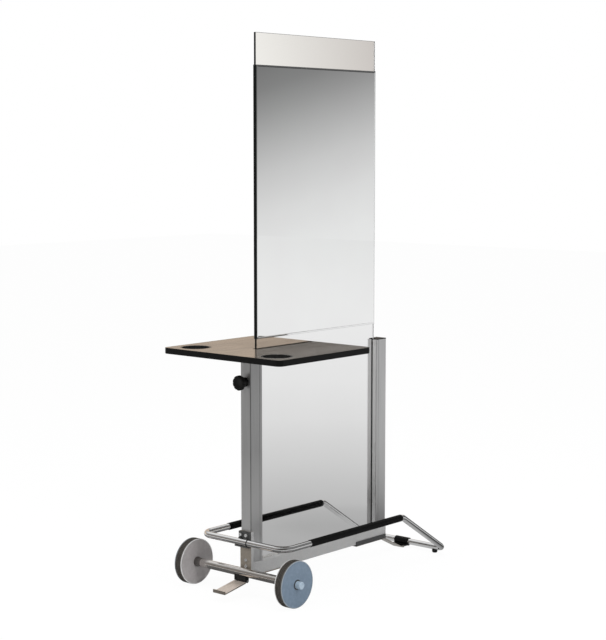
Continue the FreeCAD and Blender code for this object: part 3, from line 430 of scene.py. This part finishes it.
# %% Finishes on the CAD nodes
sides = {"near": 1, "far": -1}
cad_finishes = [
    (clear_glass, "glass_sheet"), (front_post_shaded_metal, "front_post"),
    (rear_post_lit_metal, "rear_post"), (tape_rubber, "mirror_tapes rear_gasket"),
    (black_rubber, "front_gasket"), (plain_aluminium, "post_plugs footrest_joiners"),
    (rail_paint_and_flange_light, "base_rail"), (bracket_coat, "front_bracket"), (strap_metal, "rear_strap"),
    (black_plastic, "rear_post_cap rail_end_cap joint_ring tube_clamp axle_collars clamp_knob"),
    (black_plastic, "knob_washer"), (black_steel, "clamp_bolts axle_cradle"),
    (zinc, "frame_bolts axle_shaft pedal_pin pedal_springs table_screws knob_stud knob_nut"),
    (dark_steel, "crossbar_mount crossbar_keepers rear_shoe table_bracket"),
    (axle_chrome, "axle_tube"), (pedal_metal, "pedal"), (laminate, "table_board"),
    (edge_band, "table_edging"), (white_plastic, "stem_guides")]
for side in sides:
    cad_finishes += [
        (silver, "mirror_" + side), (chrome, "footrest_tube_" + side),
        (sleeve_rubber, "footrest_sleeve_" + side), (black_rubber, "rear_foot_" + side),
        (tyre_rubber, "tyre_" + side), (rim_plastic, "wheel_core_" + side),
        (disc_plastic, "wheel_disc_outer_" + side), (cap_plastic, "hub_cap_" + side),
        (inner_disc_plastic, "wheel_disc_inner_" + side), (ring_plastic, "holder_ring_" + side),
        (bush_plastic, "wheel_bushes_" + side)]
for coat, names in cad_finishes:
    for name in names.split():
        nodes[name].data.materials.clear()
        nodes[name].data.materials.append(coat)
print("finished nodes", sum(len(names.split()) for coat, names in cad_finishes), "of", len(nodes))

# %% [markdown]
# The CAD solids are exact but plain. Most visible ones are now replaced by pieces that have
# eased edges, grooves, sockets and lips. Sizes are written in millimetres from the front edge
# of the glass, as a maker would measure them, and `at` turns them into the frame's metres.

# %% Measures and mesh helpers
glass_low, glass_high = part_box("glass_sheet")
front_edge = glass_low[1]


def at(x, y, z):
    return Vector((x * MM, y * MM + front_edge, z * MM))


def mesh_from(shape):
    bmesh.ops.recalc_face_normals(shape, faces=shape.faces)
    mesh = bpy.data.meshes.new("shape")
    shape.to_mesh(mesh)
    shape.free()
    return mesh


def smooth(mesh, angle=35.0):
    mesh.shade_smooth()
    mesh.set_sharp_from_angle(angle=math.radians(angle))
    return mesh


def add_piece(name, mesh, finishes, body, stands_for=()):
    # The mesh already lies in its place, so the object stays at the origin.
    mesh.name = name
    for one in finishes:
        mesh.materials.append(one)
    piece = bpy.data.objects.new(name, mesh)
    scene.collection.objects.link(piece)
    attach(piece, body)
    if stands_for:
        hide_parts(*stands_for)


def eased(points, reach, steps=3, closed=True):
    # Rounds an outline's corners. Reach is how far each rounding goes, one for all or a list.
    reaches = reach if isinstance(reach, list) else [reach] * len(points)
    rounded = []
    for i, (point, size) in enumerate(zip(points, reaches)):
        if not closed and i in (0, len(points) - 1):
            rounded.append(point)
            continue
        corner = Vector(point)
        before = Vector(points[i - 1]) - corner
        after = Vector(points[(i + 1) % len(points)]) - corner
        start = corner + before.normalized() * min(size, before.length * 0.45)
        end = corner + after.normalized() * min(size, after.length * 0.45)
        for k in range(steps + 1):
            t = k / steps
            spot = start * (1 - t) ** 2 + corner * (2 * t * (1 - t)) + end * t ** 2
            rounded.append(tuple(spot))
    return rounded


def stitch(shape, rings, closed=False):
    # Faces between each ring of points and the next. A ring of one point is a tip.
    for one, other in zip(rings, rings[1:] + rings[:1] if closed else rings[1:]):
        for k in range(max(len(one), len(other))):
            corners = [one[k % len(one)], one[(k + 1) % len(one)],
                       other[(k + 1) % len(other)], other[k % len(other)]]
            shape.faces.new(list(dict.fromkeys(corners)))


def turn(profile, centre, axis, steps=96, closed=True):
    # Turns (along, radius) points about the axis; along is measured from the centre.
    ahead = Vector([float(axis == letter) for letter in "xyz"])
    first = ahead.orthogonal().normalized()
    second = ahead.cross(first)
    shape = bmesh.new()
    rings = []
    for along, radius in profile:
        ring = []
        for k in range(steps if radius else 1):
            turned = 2 * math.pi * k / steps
            out = first * math.cos(turned) + second * math.sin(turned)
            spot = centre + ahead * (along * MM) + out * (radius * MM)
            ring.append(shape.verts.new(spot))
        rings.append(ring)
    stitch(shape, rings, closed)
    return smooth(mesh_from(shape))


def paint_where(mesh, chosen, index):
    # Gives one finish slot to the faces whose middle and normal pass the test.
    for face in mesh.polygons:
        if chosen(face.center, face.normal):
            face.material_index = index


def carrier_of(mesh):
    carrier = bpy.data.objects.new("carrier", mesh)
    scene.collection.objects.link(carrier)
    return carrier


def harvest(carrier):
    # Keeps the mesh that the carrier's modifiers make, and drops the carrier.
    graph = bpy.context.evaluated_depsgraph_get()
    made = bpy.data.meshes.new_from_object(carrier.evaluated_get(graph))
    carrier.modifiers.clear()
    bpy.data.objects.remove(carrier)
    return made


def eased_copy(node, width):
    # A copy of a CAD node with its loose triangles merged and its sharp edges broken.
    shape = bmesh.new()
    shape.from_mesh(nodes[node].data)
    bmesh.ops.remove_doubles(shape, verts=shape.verts, dist=0.00001)
    bmesh.ops.dissolve_limit(shape, angle_limit=math.radians(1.0), verts=shape.verts,
                             edges=shape.edges)
    mesh = bpy.data.meshes.new("eased")
    shape.to_mesh(mesh)
    shape.free()
    mesh.shade_smooth()
    carrier = carrier_of(mesh)
    edges = carrier.modifiers.new("edges", "BEVEL")
    edges.width = width * MM
    edges.segments = 2
    edges.limit_method = "ANGLE"
    edges.angle_limit = math.radians(38)
    carrier.modifiers.new("normals", "WEIGHTED_NORMAL").keep_sharp = True
    return harvest(carrier)


print("mesh helpers ready, glass front edge at y", round(front_edge, 4))

# %% [markdown]
# The glass is one sheet of clear float glass, 8 mm thick. Looked at along the sheet, its
# front edge is nearly black, its rear edge pale and its top edge dark. A box with a small
# ground arris gives the shape, and these looks are painted on its edges: painted shade on the
# front and top edges, painted light on the rear edge.

# %% Glass sheet
arris = 0.8 * MM
edge_reach = 1.2 * MM
low, high = Vector(glass_low), Vector(glass_high)
pane = bmesh.new()
bmesh.ops.create_cube(pane, size=1.0)
for vert in pane.verts:
    vert.co = (low + high) / 2 + vert.co * (high - low)
bmesh.ops.bevel(pane, geom=pane.edges, offset=arris, segments=2, profile=0.5, affect="EDGES")
glass_mesh = mesh_from(pane)
# Painted shade on the top and front edge faces, painted light on the rear edge faces.
paint_where(glass_mesh, lambda middle, normal: middle.z > high.z - edge_reach, 2)
paint_where(glass_mesh, lambda middle, normal: middle.y > high.y - edge_reach, 3)
paint_where(glass_mesh, lambda middle, normal: middle.y < front_edge + edge_reach, 1)
add_piece("glass_pane", glass_mesh,
          (clear_glass, glass_front_edge_painted_shade, glass_top_edge_painted_shade, glass_rear_edge_painted_light),
          "frame", ("glass_sheet",))
print("glass", [round(size / MM, 1) for size in high - low], "mm")

# %% [markdown]
# Each mirror is a 3 mm sheet with a narrow bevelled border. A fine line along the border is a
# painted reflection of another part of the room than the flat shows: dark at the top, light at
# the bottom and the rear. The sheet is built as rings of faces: flat, line, bevel and edge.

# %% Mirrors
bevel_line = 6.5
bevel_start = 4.0
bevel_end = 0.6
bevel_drop = 0.2
edge_drop = 1.0
# The line's painted reflection is pale at the bottom and the rear, dark at the top and absent in
# front.
line_painted_reflection = (4, 4, 1, 0)
ring_finishes = (None, 0, 2, 2)

for name, side in sides.items():
    low, high = (Vector(corner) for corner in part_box("mirror_" + name))
    outer, inner = (high.x, low.x) if side > 0 else (low.x, high.x)
    sheet = bmesh.new()
    rings = []
    for inset, x in ((bevel_line, outer), (bevel_start, outer),
                     (bevel_end, outer - side * bevel_drop * MM),
                     (0.0, outer - side * edge_drop * MM), (0.0, inner)):
        y0, y1 = low.y + inset * MM, high.y - inset * MM
        z0, z1 = low.z + inset * MM, high.z - inset * MM
        corners = ((y0, z0), (y1, z0), (y1, z1), (y0, z1))
        rings.append([sheet.verts.new((x, y, z)) for y, z in corners])
    sheet.faces.new(rings[0])
    for level, (one, other) in enumerate(zip(rings, rings[1:])):
        for k in range(4):
            j = (k + 1) % 4
            face = sheet.faces.new((one[k], one[j], other[j], other[k]))
            face.material_index = ring_finishes[level] if level else line_painted_reflection[k]
    sheet.faces.new(rings[-1]).material_index = 3
    add_piece("mirror_sheet_" + name, mesh_from(sheet),
              (silver, bevel_painted_shade, mirror_edge, mirror_back, bevel_painted_light),
              "frame", ("mirror_" + name,))
print("mirrors", list(sides))

# %% [markdown]
# Rail, bracket, shoe, strap and clamp are folded, sawn or moulded parts. Their CAD shape is
# right, but real edges are never knife sharp. Each one is copied, its triangles are merged,
# and a fine bevel breaks its edges so that they catch the light.

# %% Sawn, folded and moulded parts
# For each node: its body, the width of its broken edges, its finish and its slot.
eased_parts = {
    "rear_post_cap": ("frame", 0.5, black_plastic, "black_plastic"),
    "base_rail": ("frame", 0.8, rail_paint_and_flange_light, "painted_rail"),
    "rail_end_cap": ("frame", 0.6, black_plastic, "black_plastic"),
    "front_bracket": ("frame", 0.5, bracket_coat, "dark_steel"),
    "crossbar_mount": ("frame", 0.9, dark_steel, "dark_steel"),
    "crossbar_keepers": ("frame", 0.4, dark_steel, "dark_steel"),
    "rear_shoe": ("frame", 0.6, dark_steel, "dark_steel"),
    "rear_strap": ("frame", 0.6, strap_metal, "strap_steel"),
    "tube_clamp": ("frame", 0.7, black_plastic, "black_plastic"),
    "axle_cradle": ("frame", 0.8, black_steel, "black_steel"),
    "pedal": ("pedal", 0.8, pedal_metal, "pedal_steel"),
    "table_edging": ("table", 0.3, edge_band, "black_edging"),
    "table_bracket": ("table", 0.7, dark_steel, "dark_steel"),
}
# Four parts have a second finish: the rail's upper face is lighter, a painted light; the strap's
# foot under the clamp is black; the pedal's cut edges are dark; and the bracket's flanges above
# its foot get the rail's lighter grey on their near faces, a painted light.
strap_foot = front_edge + 779 * MM
flange_start = 66 * MM
second_finishes = {
    "base_rail": (lambda middle, normal: normal.z > 0.9, rail_top_painted_light),
    "rear_strap": (lambda middle, normal: middle.y > strap_foot, black_steel),
    "pedal": (lambda middle, normal: abs(normal.z) < 0.5, pedal_edge),
    "front_bracket": (lambda middle, normal: normal.x > 0.9 and middle.z > flange_start,
                      rail_paint_and_flange_light),
}
for node, (body, width, coat, slot) in eased_parts.items():
    finished = eased_copy(node, width)
    coats = [coat]
    if node in second_finishes:
        chosen, second = second_finishes[node]
        paint_where(finished, chosen, 1)
        coats.append(second)
    add_piece(node + "_finished", finished, coats, body, (node,))
print("eased parts", len(eased_parts))

# %% [markdown]
# The posts are extruded aluminium. One outline, drawn looking down the post, holds its
# rounded corners, its fine side grooves and the pocket that grips the glass. Pulling that
# outline up to the post's height gives the whole post, as the extruder's die does.

# %% Extruded posts
post_half = 22.5
pocket_half = 5.5
post_round = 4.0
mouth_round = 2.0
fine_round = 0.35
side_groove_place = 12.5
side_groove_half = 0.7
side_groove_depth = 1.0


def post_outline(mouth, back, pocket_end):
    # Corners and roundings from the closed back to the pocket, then their mirror image.
    way = 1 if back > mouth else -1
    first = mouth + way * (side_groove_place + side_groove_half)
    last = mouth + way * (side_groove_place - side_groove_half)
    inside = post_half - side_groove_depth
    half = [((post_half, back), post_round), ((post_half, first), fine_round),
            ((inside, first), fine_round), ((inside, last), fine_round),
            ((post_half, last), fine_round), ((post_half, mouth), mouth_round),
            ((pocket_half, mouth), fine_round), ((pocket_half, pocket_end), fine_round)]
    whole = half + [((-x, y), reach) for (x, y), reach in reversed(half)]
    return eased([point for point, reach in whole], [reach for point, reach in whole], 6)


def drawn_up(outline, bottom, top):
    # Pulls a flat outline straight up into a closed bar.
    shape = bmesh.new()
    foot = [shape.verts.new(at(x, y, bottom)) for x, y in outline]
    head = [shape.verts.new(at(x, y, top)) for x, y in outline]
    shape.faces.new(foot)
    shape.faces.new(head)
    stitch(shape, [foot, head])
    return smooth(mesh_from(shape), 30.0)


def is_round(middle, normal):
    return abs(normal.z) < 0.1 and 0.2 < abs(normal.x) < 0.98


post_bottom, post_top = (corner[2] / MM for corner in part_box("front_post"))
front_post = drawn_up(post_outline(7, -50, -1.5), post_bottom, post_top)
# The rounded corners get the darker copy: painted shade.
paint_where(front_post, is_round, 1)
add_piece("front_post_bar", front_post, (front_post_shaded_metal, post_round_painted_shade), "frame",
          ("front_post",))
rear_post = drawn_up(post_outline(619, 676, 627.5), post_bottom, post_top)
# The rear post's front-facing lips get the lighter copy, a painted light, and its corners the
# darker copy, a painted shade.
paint_where(rear_post, lambda middle, normal: normal.y < -0.9, 1)
paint_where(rear_post, is_round, 2)
add_piece("rear_post_bar", rear_post, (rear_post_lit_metal, post_lip_painted_light, rear_round_painted_shade),
          "frame", ("rear_post",))
print("posts", len(front_post.polygons), "faces each")

# %% [markdown]
# The footrest is one bright tube, bent cold on a round former. Its centre line is a few
# straight runs, and every inner corner has its own bend radius. Geometry Nodes suit that:
# the runs become a curve, Fillet Curve rounds each corner by the radius stored there, and a
# circle is swept along the result.

# %% Helpers for Geometry Nodes
def new_tree(name, sizes):
    tree = bpy.data.node_groups.new(name, "GeometryNodeTree")
    sockets = {"Geometry": "NodeSocketGeometry"}
    for label, value in sizes.items():
        sockets[label] = "NodeSocketInt" if isinstance(value, int) else "NodeSocketFloat"
    sockets["Finish"] = "NodeSocketMaterial"
    for label, kind in sockets.items():
        socket = tree.interface.new_socket(name=label, in_out="INPUT", socket_type=kind)
        if label in sizes:
            socket.default_value = sizes[label]
    tree.interface.new_socket(name="Geometry", in_out="OUTPUT", socket_type="NodeSocketGeometry")
    return tree, tree.nodes.new("NodeGroupInput").outputs


def end_tree(tree, sockets, geometry):
    whole = step(tree, "GeometryNodeRealizeInstances", {"Geometry": geometry})
    painted = step(tree, "GeometryNodeSetMaterial",
                   {"Geometry": whole, "Material": sockets["Finish"]})
    step(tree, "NodeGroupOutput", {"Geometry": painted})


def swept(tree, curve, radius, points):
    # A round section drawn along a curve, with closed ends.
    section = step(tree, "GeometryNodeCurvePrimitiveCircle",
                   {"Radius": radius, "Resolution": points})
    return step(tree, "GeometryNodeCurveToMesh",
                {"Curve": curve, "Profile Curve": section, "Fill Caps": True})


def on_points(tree, points, shape):
    # One shape on each point, turned to face the way that the point's arrow says.
    arrow = step(tree, "GeometryNodeInputNamedAttribute", {"Name": "facing"},
                 data_type="FLOAT_VECTOR")
    turned = step(tree, "FunctionNodeAlignRotationToVector", {"Vector": arrow}, axis="Z")
    return step(tree, "GeometryNodeInstanceOnPoints",
                {"Points": points, "Instance": shape, "Rotation": turned})


def grown(tree, points, edges, values, bends=None, arrows=None):
    # Feeds a few points to a tree and keeps the mesh that it makes.
    seed = bpy.data.meshes.new("seed")
    seed.from_pydata([tuple(p) for p in points], edges, [])
    if bends:
        seed.attributes.new("bend", "FLOAT", "POINT").data.foreach_set("value", bends)
    if arrows:
        flat = [part for arrow in arrows for part in arrow]
        facing = seed.attributes.new("facing", "FLOAT_VECTOR", "POINT")
        facing.data.foreach_set("vector", flat)
    carrier = carrier_of(seed)
    modifier = carrier.modifiers.new("shape", "NODES")
    modifier.node_group = tree
    for item in tree.interface.items_tree:
        if item.in_out == "INPUT" and item.name in values:
            modifier[item.identifier] = values[item.name]
    return harvest(carrier)


print("node tree helpers ready")

# %% Footrest tubes
tube_tree, sockets = new_tree("bent_tube", {"Radius": 0.011, "Sides": 48, "Bend Steps": 16})
runs = step(tube_tree, "GeometryNodeMeshToCurve", {"Mesh": sockets["Geometry"]})
bend = step(tube_tree, "GeometryNodeInputNamedAttribute", {"Name": "bend"}, data_type="FLOAT")
bent = step(tube_tree, "GeometryNodeFilletCurve",
            {"Curve": runs, "Radius": bend, "Count": sockets["Bend Steps"],
             "Limit Radius": True}, mode="POLY")
end_tree(tube_tree, sockets, swept(tube_tree, bent, sockets["Radius"], sockets["Sides"]))

tube_height = 180.5
crossbar_y = -70.0
side_run = 186
fall_start = 565
rear_side = 190
rear_y = 812.0
rear_height = 22.0
joint_start, joint_end = 25.5, 28.5
bend_radii = [0.0, 42 * MM, 34 * MM, 28 * MM, 0.0]
for name, side in sides.items():
    start_x = joint_end if side > 0 else joint_start
    corners = [(start_x, crossbar_y, tube_height), (side * side_run, crossbar_y, tube_height),
               (side * side_run, fall_start, tube_height),
               (side * rear_side, rear_y, rear_height), (0, rear_y, rear_height)]
    tube = grown(tube_tree, [at(*p) for p in corners], [(i, i + 1) for i in range(4)],
                 {"Finish": chrome}, bend_radii)
    add_piece("footrest_" + name, smooth(tube), (), "frame",
              ("footrest_tube_" + name,))
print("footrest tubes", len(tube.polygons), "faces each")

# %% [markdown]
# Turned parts come from one outline each: the rubber sleeves on the side runs, the plastic
# ring that hides the joint in the crossbar, the axle and the dark collars at its ends.

# %% Sleeves, joint ring and axle
sleeve_start, sleeve_end = 60, 554
sleeve_outline = eased([(sleeve_start, 10.9), (sleeve_start, 12.2), (sleeve_start + 1, 12.5),
                        (sleeve_end - 1, 12.5), (sleeve_end, 12.2), (sleeve_end, 10.9)], 0.5)
for name, side in sides.items():
    sleeve = turn(sleeve_outline, at(side * side_run, 0, tube_height), "y", 64)
    add_piece("sleeve_" + name, sleeve, (sleeve_rubber,), "frame",
              ("footrest_sleeve_" + name,))

ring_outline = [(joint_start, 10.9), (joint_start, 12.2), (joint_end, 12.2), (joint_end, 10.9)]
ring = turn(eased(ring_outline, 0.6), at(0, crossbar_y, tube_height), "x", 64)
add_piece("crossbar_ring", ring, (black_plastic,), "frame", ("joint_ring",))

axle_place = at(0, -68.5, 78)
axle_end = 204.75
bare_end = 186.0
axle_bore, axle_radius, bare_radius = 12.6, 15, 14.8
axle_half = [(axle_end, axle_bore), (axle_end, axle_radius), (bare_end + 1, axle_radius),
             (bare_end, bare_radius)]
axle_outline = [(-a, r) for a, r in axle_half] + axle_half[::-1]
axle = turn(eased(axle_outline, 0.4), axle_place, "x")
paint_where(axle, lambda middle, normal: abs(middle.x) > (bare_end - 0.5) * MM, 1)
add_piece("axle", axle, (axle_chrome, collar_brown), "frame", ("axle_tube",))

collar_steps = ((0, 10.1), (0, 16.6), (1.2, 17), (6, 17), (7, 16), (7, 10.1))
collars = bmesh.new()
for side in sides.values():
    outline = [(side * (axle_end + along), radius) for along, radius in collar_steps]
    collars.from_mesh(turn(eased(outline, 0.8), axle_place, "x", 64))
add_piece("axle_end_collars", smooth(mesh_from(collars)), (collar_brown,), "frame",
          ("axle_collars",))
print("turned parts done")

# %% [markdown]
# A wheel has a solid rubber tyre with three grooves in a flat tread, a moulded cover on each
# side with a raised rim in a lighter grey, and a long grey cap on the end of the shaft. All of
# them are turned about the axle, and the covers get the rim's colour where the radius is largest.
# The grooves' faces are painted black as painted shade, and the inner cover's rim is pale, a
# painted highlight.

# %% Wheels
wheel_middle = 227.5
tyre_half = 12.95
tyre_seat = 69
tread_radius = 78.0
tread_ease = 1.6
groove_half = 1.1
groove_floor = 75.6
groove_places = (-5.7, 0.0, 5.7)
groove_shade_radius = 77.2
groove_shade_half = 8
rim_start = 75.6

tyre_points = [(-tyre_half, tyre_seat), (-tyre_half, tread_radius - tread_ease),
               (-tyre_half + tread_ease, tread_radius)]
for place in groove_places:
    tyre_points += [(place - groove_half, tread_radius), (place - groove_half, groove_floor),
                    (place + groove_half, groove_floor), (place + groove_half, tread_radius)]
tyre_points += [(tyre_half - tread_ease, tread_radius), (tyre_half, tread_radius - tread_ease),
                (tyre_half, tyre_seat)]
tyre_outline = eased(tyre_points, 0.5, 2)
# The shaft's cap, from its hidden face over a fine groove to its dished end.
cap_points = [(243.3, 0), (243.3, 12.5), (245.2, 12.5), (245.6, 12.0), (246.4, 12.0),
              (246.8, 12.5), (262.0, 12.5), (264.1, 10.5), (264.25, 9.0), (263.4, 8.2),
              (263.4, 0)]
cap_outline = eased(cap_points, 0.7, 3, False)


def cover_outline(side, outward, hole):
    # From the hub boss over the flat to the raised rim, and back along the inside.
    points = [(13.3, hole), (15.2, hole), (15.2, 19), (14.5, 21), (14.5, 72.2), (15.25, 74.0),
              (15.25, 77.5), (14.9, 77.9), (13.0, 77.9), (13.0, 71), (13.3, 70)]
    return eased([(side * (wheel_middle + outward * x), r) for x, r in points], 1.2, 4)


def radius_of(middle):
    return math.hypot(middle.y - axle_place.y, middle.z - axle_place.z) / MM


def in_groove_shade(middle, normal):
    aside = abs(abs(middle.x) / MM - wheel_middle)
    return radius_of(middle) < groove_shade_radius and aside < groove_shade_half


# The inner covers' pale rim colour is a painted highlight.
covers = (("outer", 1, disc_plastic, rim_plastic, 10.8),
          ("inner", -1, inner_disc_plastic, inner_rim_painted_highlight, 15.0))
for name, side in sides.items():
    outline = [(side * (wheel_middle + along), radius) for along, radius in tyre_outline]
    rubber = turn(outline, axle_place, "x", 160)
    # The groove faces get black rubber: a painted shade in the recesses.
    paint_where(rubber, in_groove_shade, 1)
    add_piece("tread_" + name, rubber, (tyre_rubber, black_rubber), name + "_wheel",
              ("tyre_" + name,))
    for place, outward, plastic, edge, hole in covers:
        cover = turn(cover_outline(side, outward, hole), axle_place, "x", 128)
        paint_where(cover, lambda middle, normal: radius_of(middle) > rim_start, 1)
        add_piece("cover_%s_%s" % (place, name), cover, (plastic, edge), name + "_wheel",
                  ("wheel_disc_%s_%s" % (place, name),))
    cap = turn([(side * along, radius) for along, radius in cap_outline], axle_place, "x",
               64, False)
    add_piece("shaft_cap_" + name, cap, (cap_plastic,), "frame",
              ("hub_cap_" + name,))
print("wheels", list(sides))

# %% [markdown]
# Hex socket screws hold the bracket, the mount and the clamp, and pan heads hold the table.
# One node tree makes a head: a disc with a chamfered top, with a hexagon cut out of it. The
# tree puts one on each point, turned to face the way that the point's arrow says.

# %% Bolts and screws
head_tree, sockets = new_tree("socket_head", {"Radius": 0.0055, "Height": 0.004,
                                              "Chamfer": 0.0006, "Key": 0.0030})


def raised(mesh, height):
    lift = step(head_tree, "ShaderNodeCombineXYZ", {"Z": height})
    return step(head_tree, "GeometryNodeTransform", {"Geometry": mesh, "Translation": lift})


straight = maths(head_tree, "SUBTRACT", sockets["Height"], sockets["Chamfer"])
barrel = step(head_tree, "GeometryNodeMeshCylinder",
              {"Vertices": 36, "Radius": sockets["Radius"], "Depth": straight})
barrel = raised(barrel, maths(head_tree, "MULTIPLY", straight, 0.5))
crown_top = maths(head_tree, "SUBTRACT", sockets["Radius"], sockets["Chamfer"])
crown = step(head_tree, "GeometryNodeMeshCone",
             {"Vertices": 36, "Radius Top": crown_top, "Radius Bottom": sockets["Radius"],
              "Depth": sockets["Chamfer"]})
blank = step(head_tree, "GeometryNodeMeshBoolean", {"Mesh 2": barrel}, operation="UNION",
             solver="EXACT")
feed(head_tree, blank.node, {"Mesh 2": raised(crown, straight)})
key = step(head_tree, "GeometryNodeMeshCylinder",
           {"Vertices": 6, "Radius": sockets["Key"], "Depth": sockets["Height"]})
head = step(head_tree, "GeometryNodeMeshBoolean",
            {"Mesh 1": blank, "Mesh 2": raised(key, sockets["Height"])},
            operation="DIFFERENCE", solver="EXACT")
end_tree(head_tree, sockets, on_points(head_tree, sockets["Geometry"], head))


def heads(name, seats, metal, body, node, sizes):
    points = [at(*seat) for seat, arrow in seats]
    made = grown(head_tree, points, [], dict(sizes, Finish=metal),
                 arrows=[arrow for seat, arrow in seats])
    add_piece(name, smooth(made, 30.0), (), body, (node,))
    print(name, len(seats))


forward = (0, -1, 0)
down = (0, 0, -1)
bolt_seats = [((x, -63.5, 203), forward) for x in (-13, 13)]
bolt_seats += [((2, -52, z), forward) for z in (95, 116)]
bolt_seats += [((0, y, z), down) for y, z in ((-25.75, 61), (530, 56), (651.75, 56))]
# The frame bolts' heads get the lighter zinc: a painted highlight.
heads("frame_bolt_heads", bolt_seats, zinc_painted_highlight, "frame", "frame_bolts", {})
clamp_seats = [((x, rear_y + y, 4), down) for x in (-13, 13) for y in (-16.5, 16.5)]
heads("clamp_bolt_heads", clamp_seats, black_steel, "frame", "clamp_bolts",
      {"Height": 0.003})
screw_seats = [((x, y, 798), down) for x in (-96, 96) for y in (-106, 35, 176)]
heads("table_screw_heads", screw_seats, zinc, "table", "table_screws",
      {"Radius": 0.004, "Height": 0.0025, "Key": 0.0017, "Chamfer": 0.0008})

# %% [markdown]
# Two coil springs on the pedal's pin push the pedal back up. A spiral curve is the natural
# start for a coil, and a thin circle swept along it gives the wire.

# %% Pedal springs
spring_tree, sockets = new_tree("coil_spring", {"Turns": 5.0, "Coil Radius": 0.0053,
                                                "Length": 0.0063, "Wire": 0.00065})
coil = step(spring_tree, "GeometryNodeCurveSpiral",
            {"Resolution": 32, "Rotations": sockets["Turns"],
             "Start Radius": sockets["Coil Radius"], "End Radius": sockets["Coil Radius"],
             "Height": sockets["Length"]})
spring = swept(spring_tree, coil, sockets["Wire"], 10)
end_tree(spring_tree, sockets, on_points(spring_tree, sockets["Geometry"], spring))
pin_y = -71.0
pin_height = 52.0
spring_start = 11.6
spring_places = [at(side * spring_start, pin_y, pin_height) for side in sides.values()]
springs = grown(spring_tree, spring_places, [], {"Finish": zinc},
                arrows=[(side, 0, 0) for side in sides.values()])
add_piece("return_springs", smooth(springs), (), "frame", ("pedal_springs",))
print("springs", len(springs.polygons), "faces")

# %% [markdown]
# Each dryer hole is lined with a moulded ring. Its flange lies flush in the table, and a
# rounded lip leads the dryer in.

# %% Dryer hole rings
table_top = 822
hole_x = 182
hole_y = -98
liner_outline = eased([(802, 46), (820.6, 46), (table_top, 47.4), (table_top, 52.2),
                       (821.6, 52.5), (820.8, 52.5), (820.8, 48.5), (802, 48.5)], 0.6)
for name, side in sides.items():
    liner = turn(liner_outline, at(side * hole_x, hole_y, 0), "z")
    add_piece("dryer_ring_" + name, liner, (ring_plastic,), "table",
              ("holder_ring_" + name,))
print("dryer rings 92 mm wide")

# %% [markdown]
# The slot in the table is cut round the glass, and its raw edge is hidden by a thin black
# trim that runs down both sides and round the front. It is one flat U, pulled up a little.

# %% Slot trim
trim_end = (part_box("table_board")[1][1] - front_edge) / MM - 4
trim_out = 9.0
trim_in = 5.5
trim_front = -5
trim_inside = -1.5
trim_flat = [(trim_out, trim_end), (trim_out, trim_front), (-trim_out, trim_front),
             (-trim_out, trim_end), (-trim_in, trim_end), (-trim_in, trim_inside),
             (trim_in, trim_inside), (trim_in, trim_end)]
slot_trim = drawn_up(eased(trim_flat, 1.2), table_top - 0.1, table_top + 0.6)
add_piece("slot_trim", slot_trim, (edge_band,), "table")
print("slot trim", round(trim_end - trim_front), "mm long")

# %% [markdown]
# The clamp knob is moulded round its stud: a thick disc with ten shallow finger grooves, on a
# neck that flares towards the post. The grooves are a cosine that eats into the rim, so each
# ring of the turned shape gets its radius from the angle.

# %% Clamp knob and washer
knob_place = at(0, -50, 716.5)
knob_steps = 200
finger_grooves = 10
groove_depth = 1.5
# Each ring has its way out from the post, its radius and its share of the groove.
knob_rings = [(2.0, 0, 0), (2.0, 15.5, 0), (3.5, 15.8, 0), (7, 13.4, 0), (12, 12.5, 0),
              (19, 12.5, 0), (22.5, 14, 0), (24, 17, 0), (24.2, 22.5, 1), (24.9, 24.3, 1),
              (26.5, 25, 1), (34, 25, 1), (35.9, 24.3, 1), (36.8, 22.6, 1), (37, 20, 0.4),
              (36.9, 14, 0), (36.2, 12.8, 0), (36.2, 0, 0)]
knob = bmesh.new()
rings = []
for along, radius, share in knob_rings:
    ring = []
    for k in range(knob_steps if radius else 1):
        turned = 2 * math.pi * k / knob_steps
        wave = max(0.0, math.cos(finger_grooves * turned)) ** 1.5
        reach = (radius - share * groove_depth * wave) * MM
        spot = Vector((reach * math.cos(turned), -along * MM, reach * math.sin(turned)))
        ring.append(knob.verts.new(knob_place + spot))
    rings.append(ring)
stitch(knob, rings)
add_piece("fluted_knob", smooth(mesh_from(knob), 40.0), (black_plastic,), "knob",
          ("clamp_knob",))
washer_outline = [(-2, 5.2), (-2, 13.2), (-1.7, 13.5), (0, 13.5), (0, 5.2)]
washer = turn(eased(washer_outline, 0.3), knob_place, "y", 48)
add_piece("knob_disc", washer, (black_plastic,), "knob_washer",
          ("knob_washer",))
print("knob with", finger_grooves, "finger grooves")

# %% [markdown]
# The cradle under the axle is welded to the bracket. A weld bead is a row of overlapping
# drops, so a tree spreads points along a line and puts a small ball on each.

# %% Weld beads
bead_tree, sockets = new_tree("weld_bead", {"Pitch": 0.0016, "Width": 0.0016})
line = step(bead_tree, "GeometryNodeMeshToCurve", {"Mesh": sockets["Geometry"]})
spaced = step(bead_tree, "GeometryNodeResampleCurve",
              {"Curve": line, "Length": sockets["Pitch"]}, mode="LENGTH")
drop = step(bead_tree, "GeometryNodeMeshUVSphere",
            {"Segments": 12, "Rings": 8, "Radius": sockets["Width"]})
row = step(bead_tree, "GeometryNodeInstanceOnPoints", {"Points": spaced, "Instance": drop})
end_tree(bead_tree, sockets, row)
weld_ends = [(-23, -53.2, 75.6), (23, -53.2, 75.6), (-24.6, -53, 62), (-24.6, -53, 74),
             (24.6, -53, 62), (24.6, -53, 74)]
beads = grown(bead_tree, [at(*p) for p in weld_ends], [(0, 1), (2, 3), (4, 5)],
              {"Finish": black_steel})
add_piece("cradle_weld", smooth(beads, 60.0), (), "frame")
print("weld beads", len(beads.polygons), "faces")
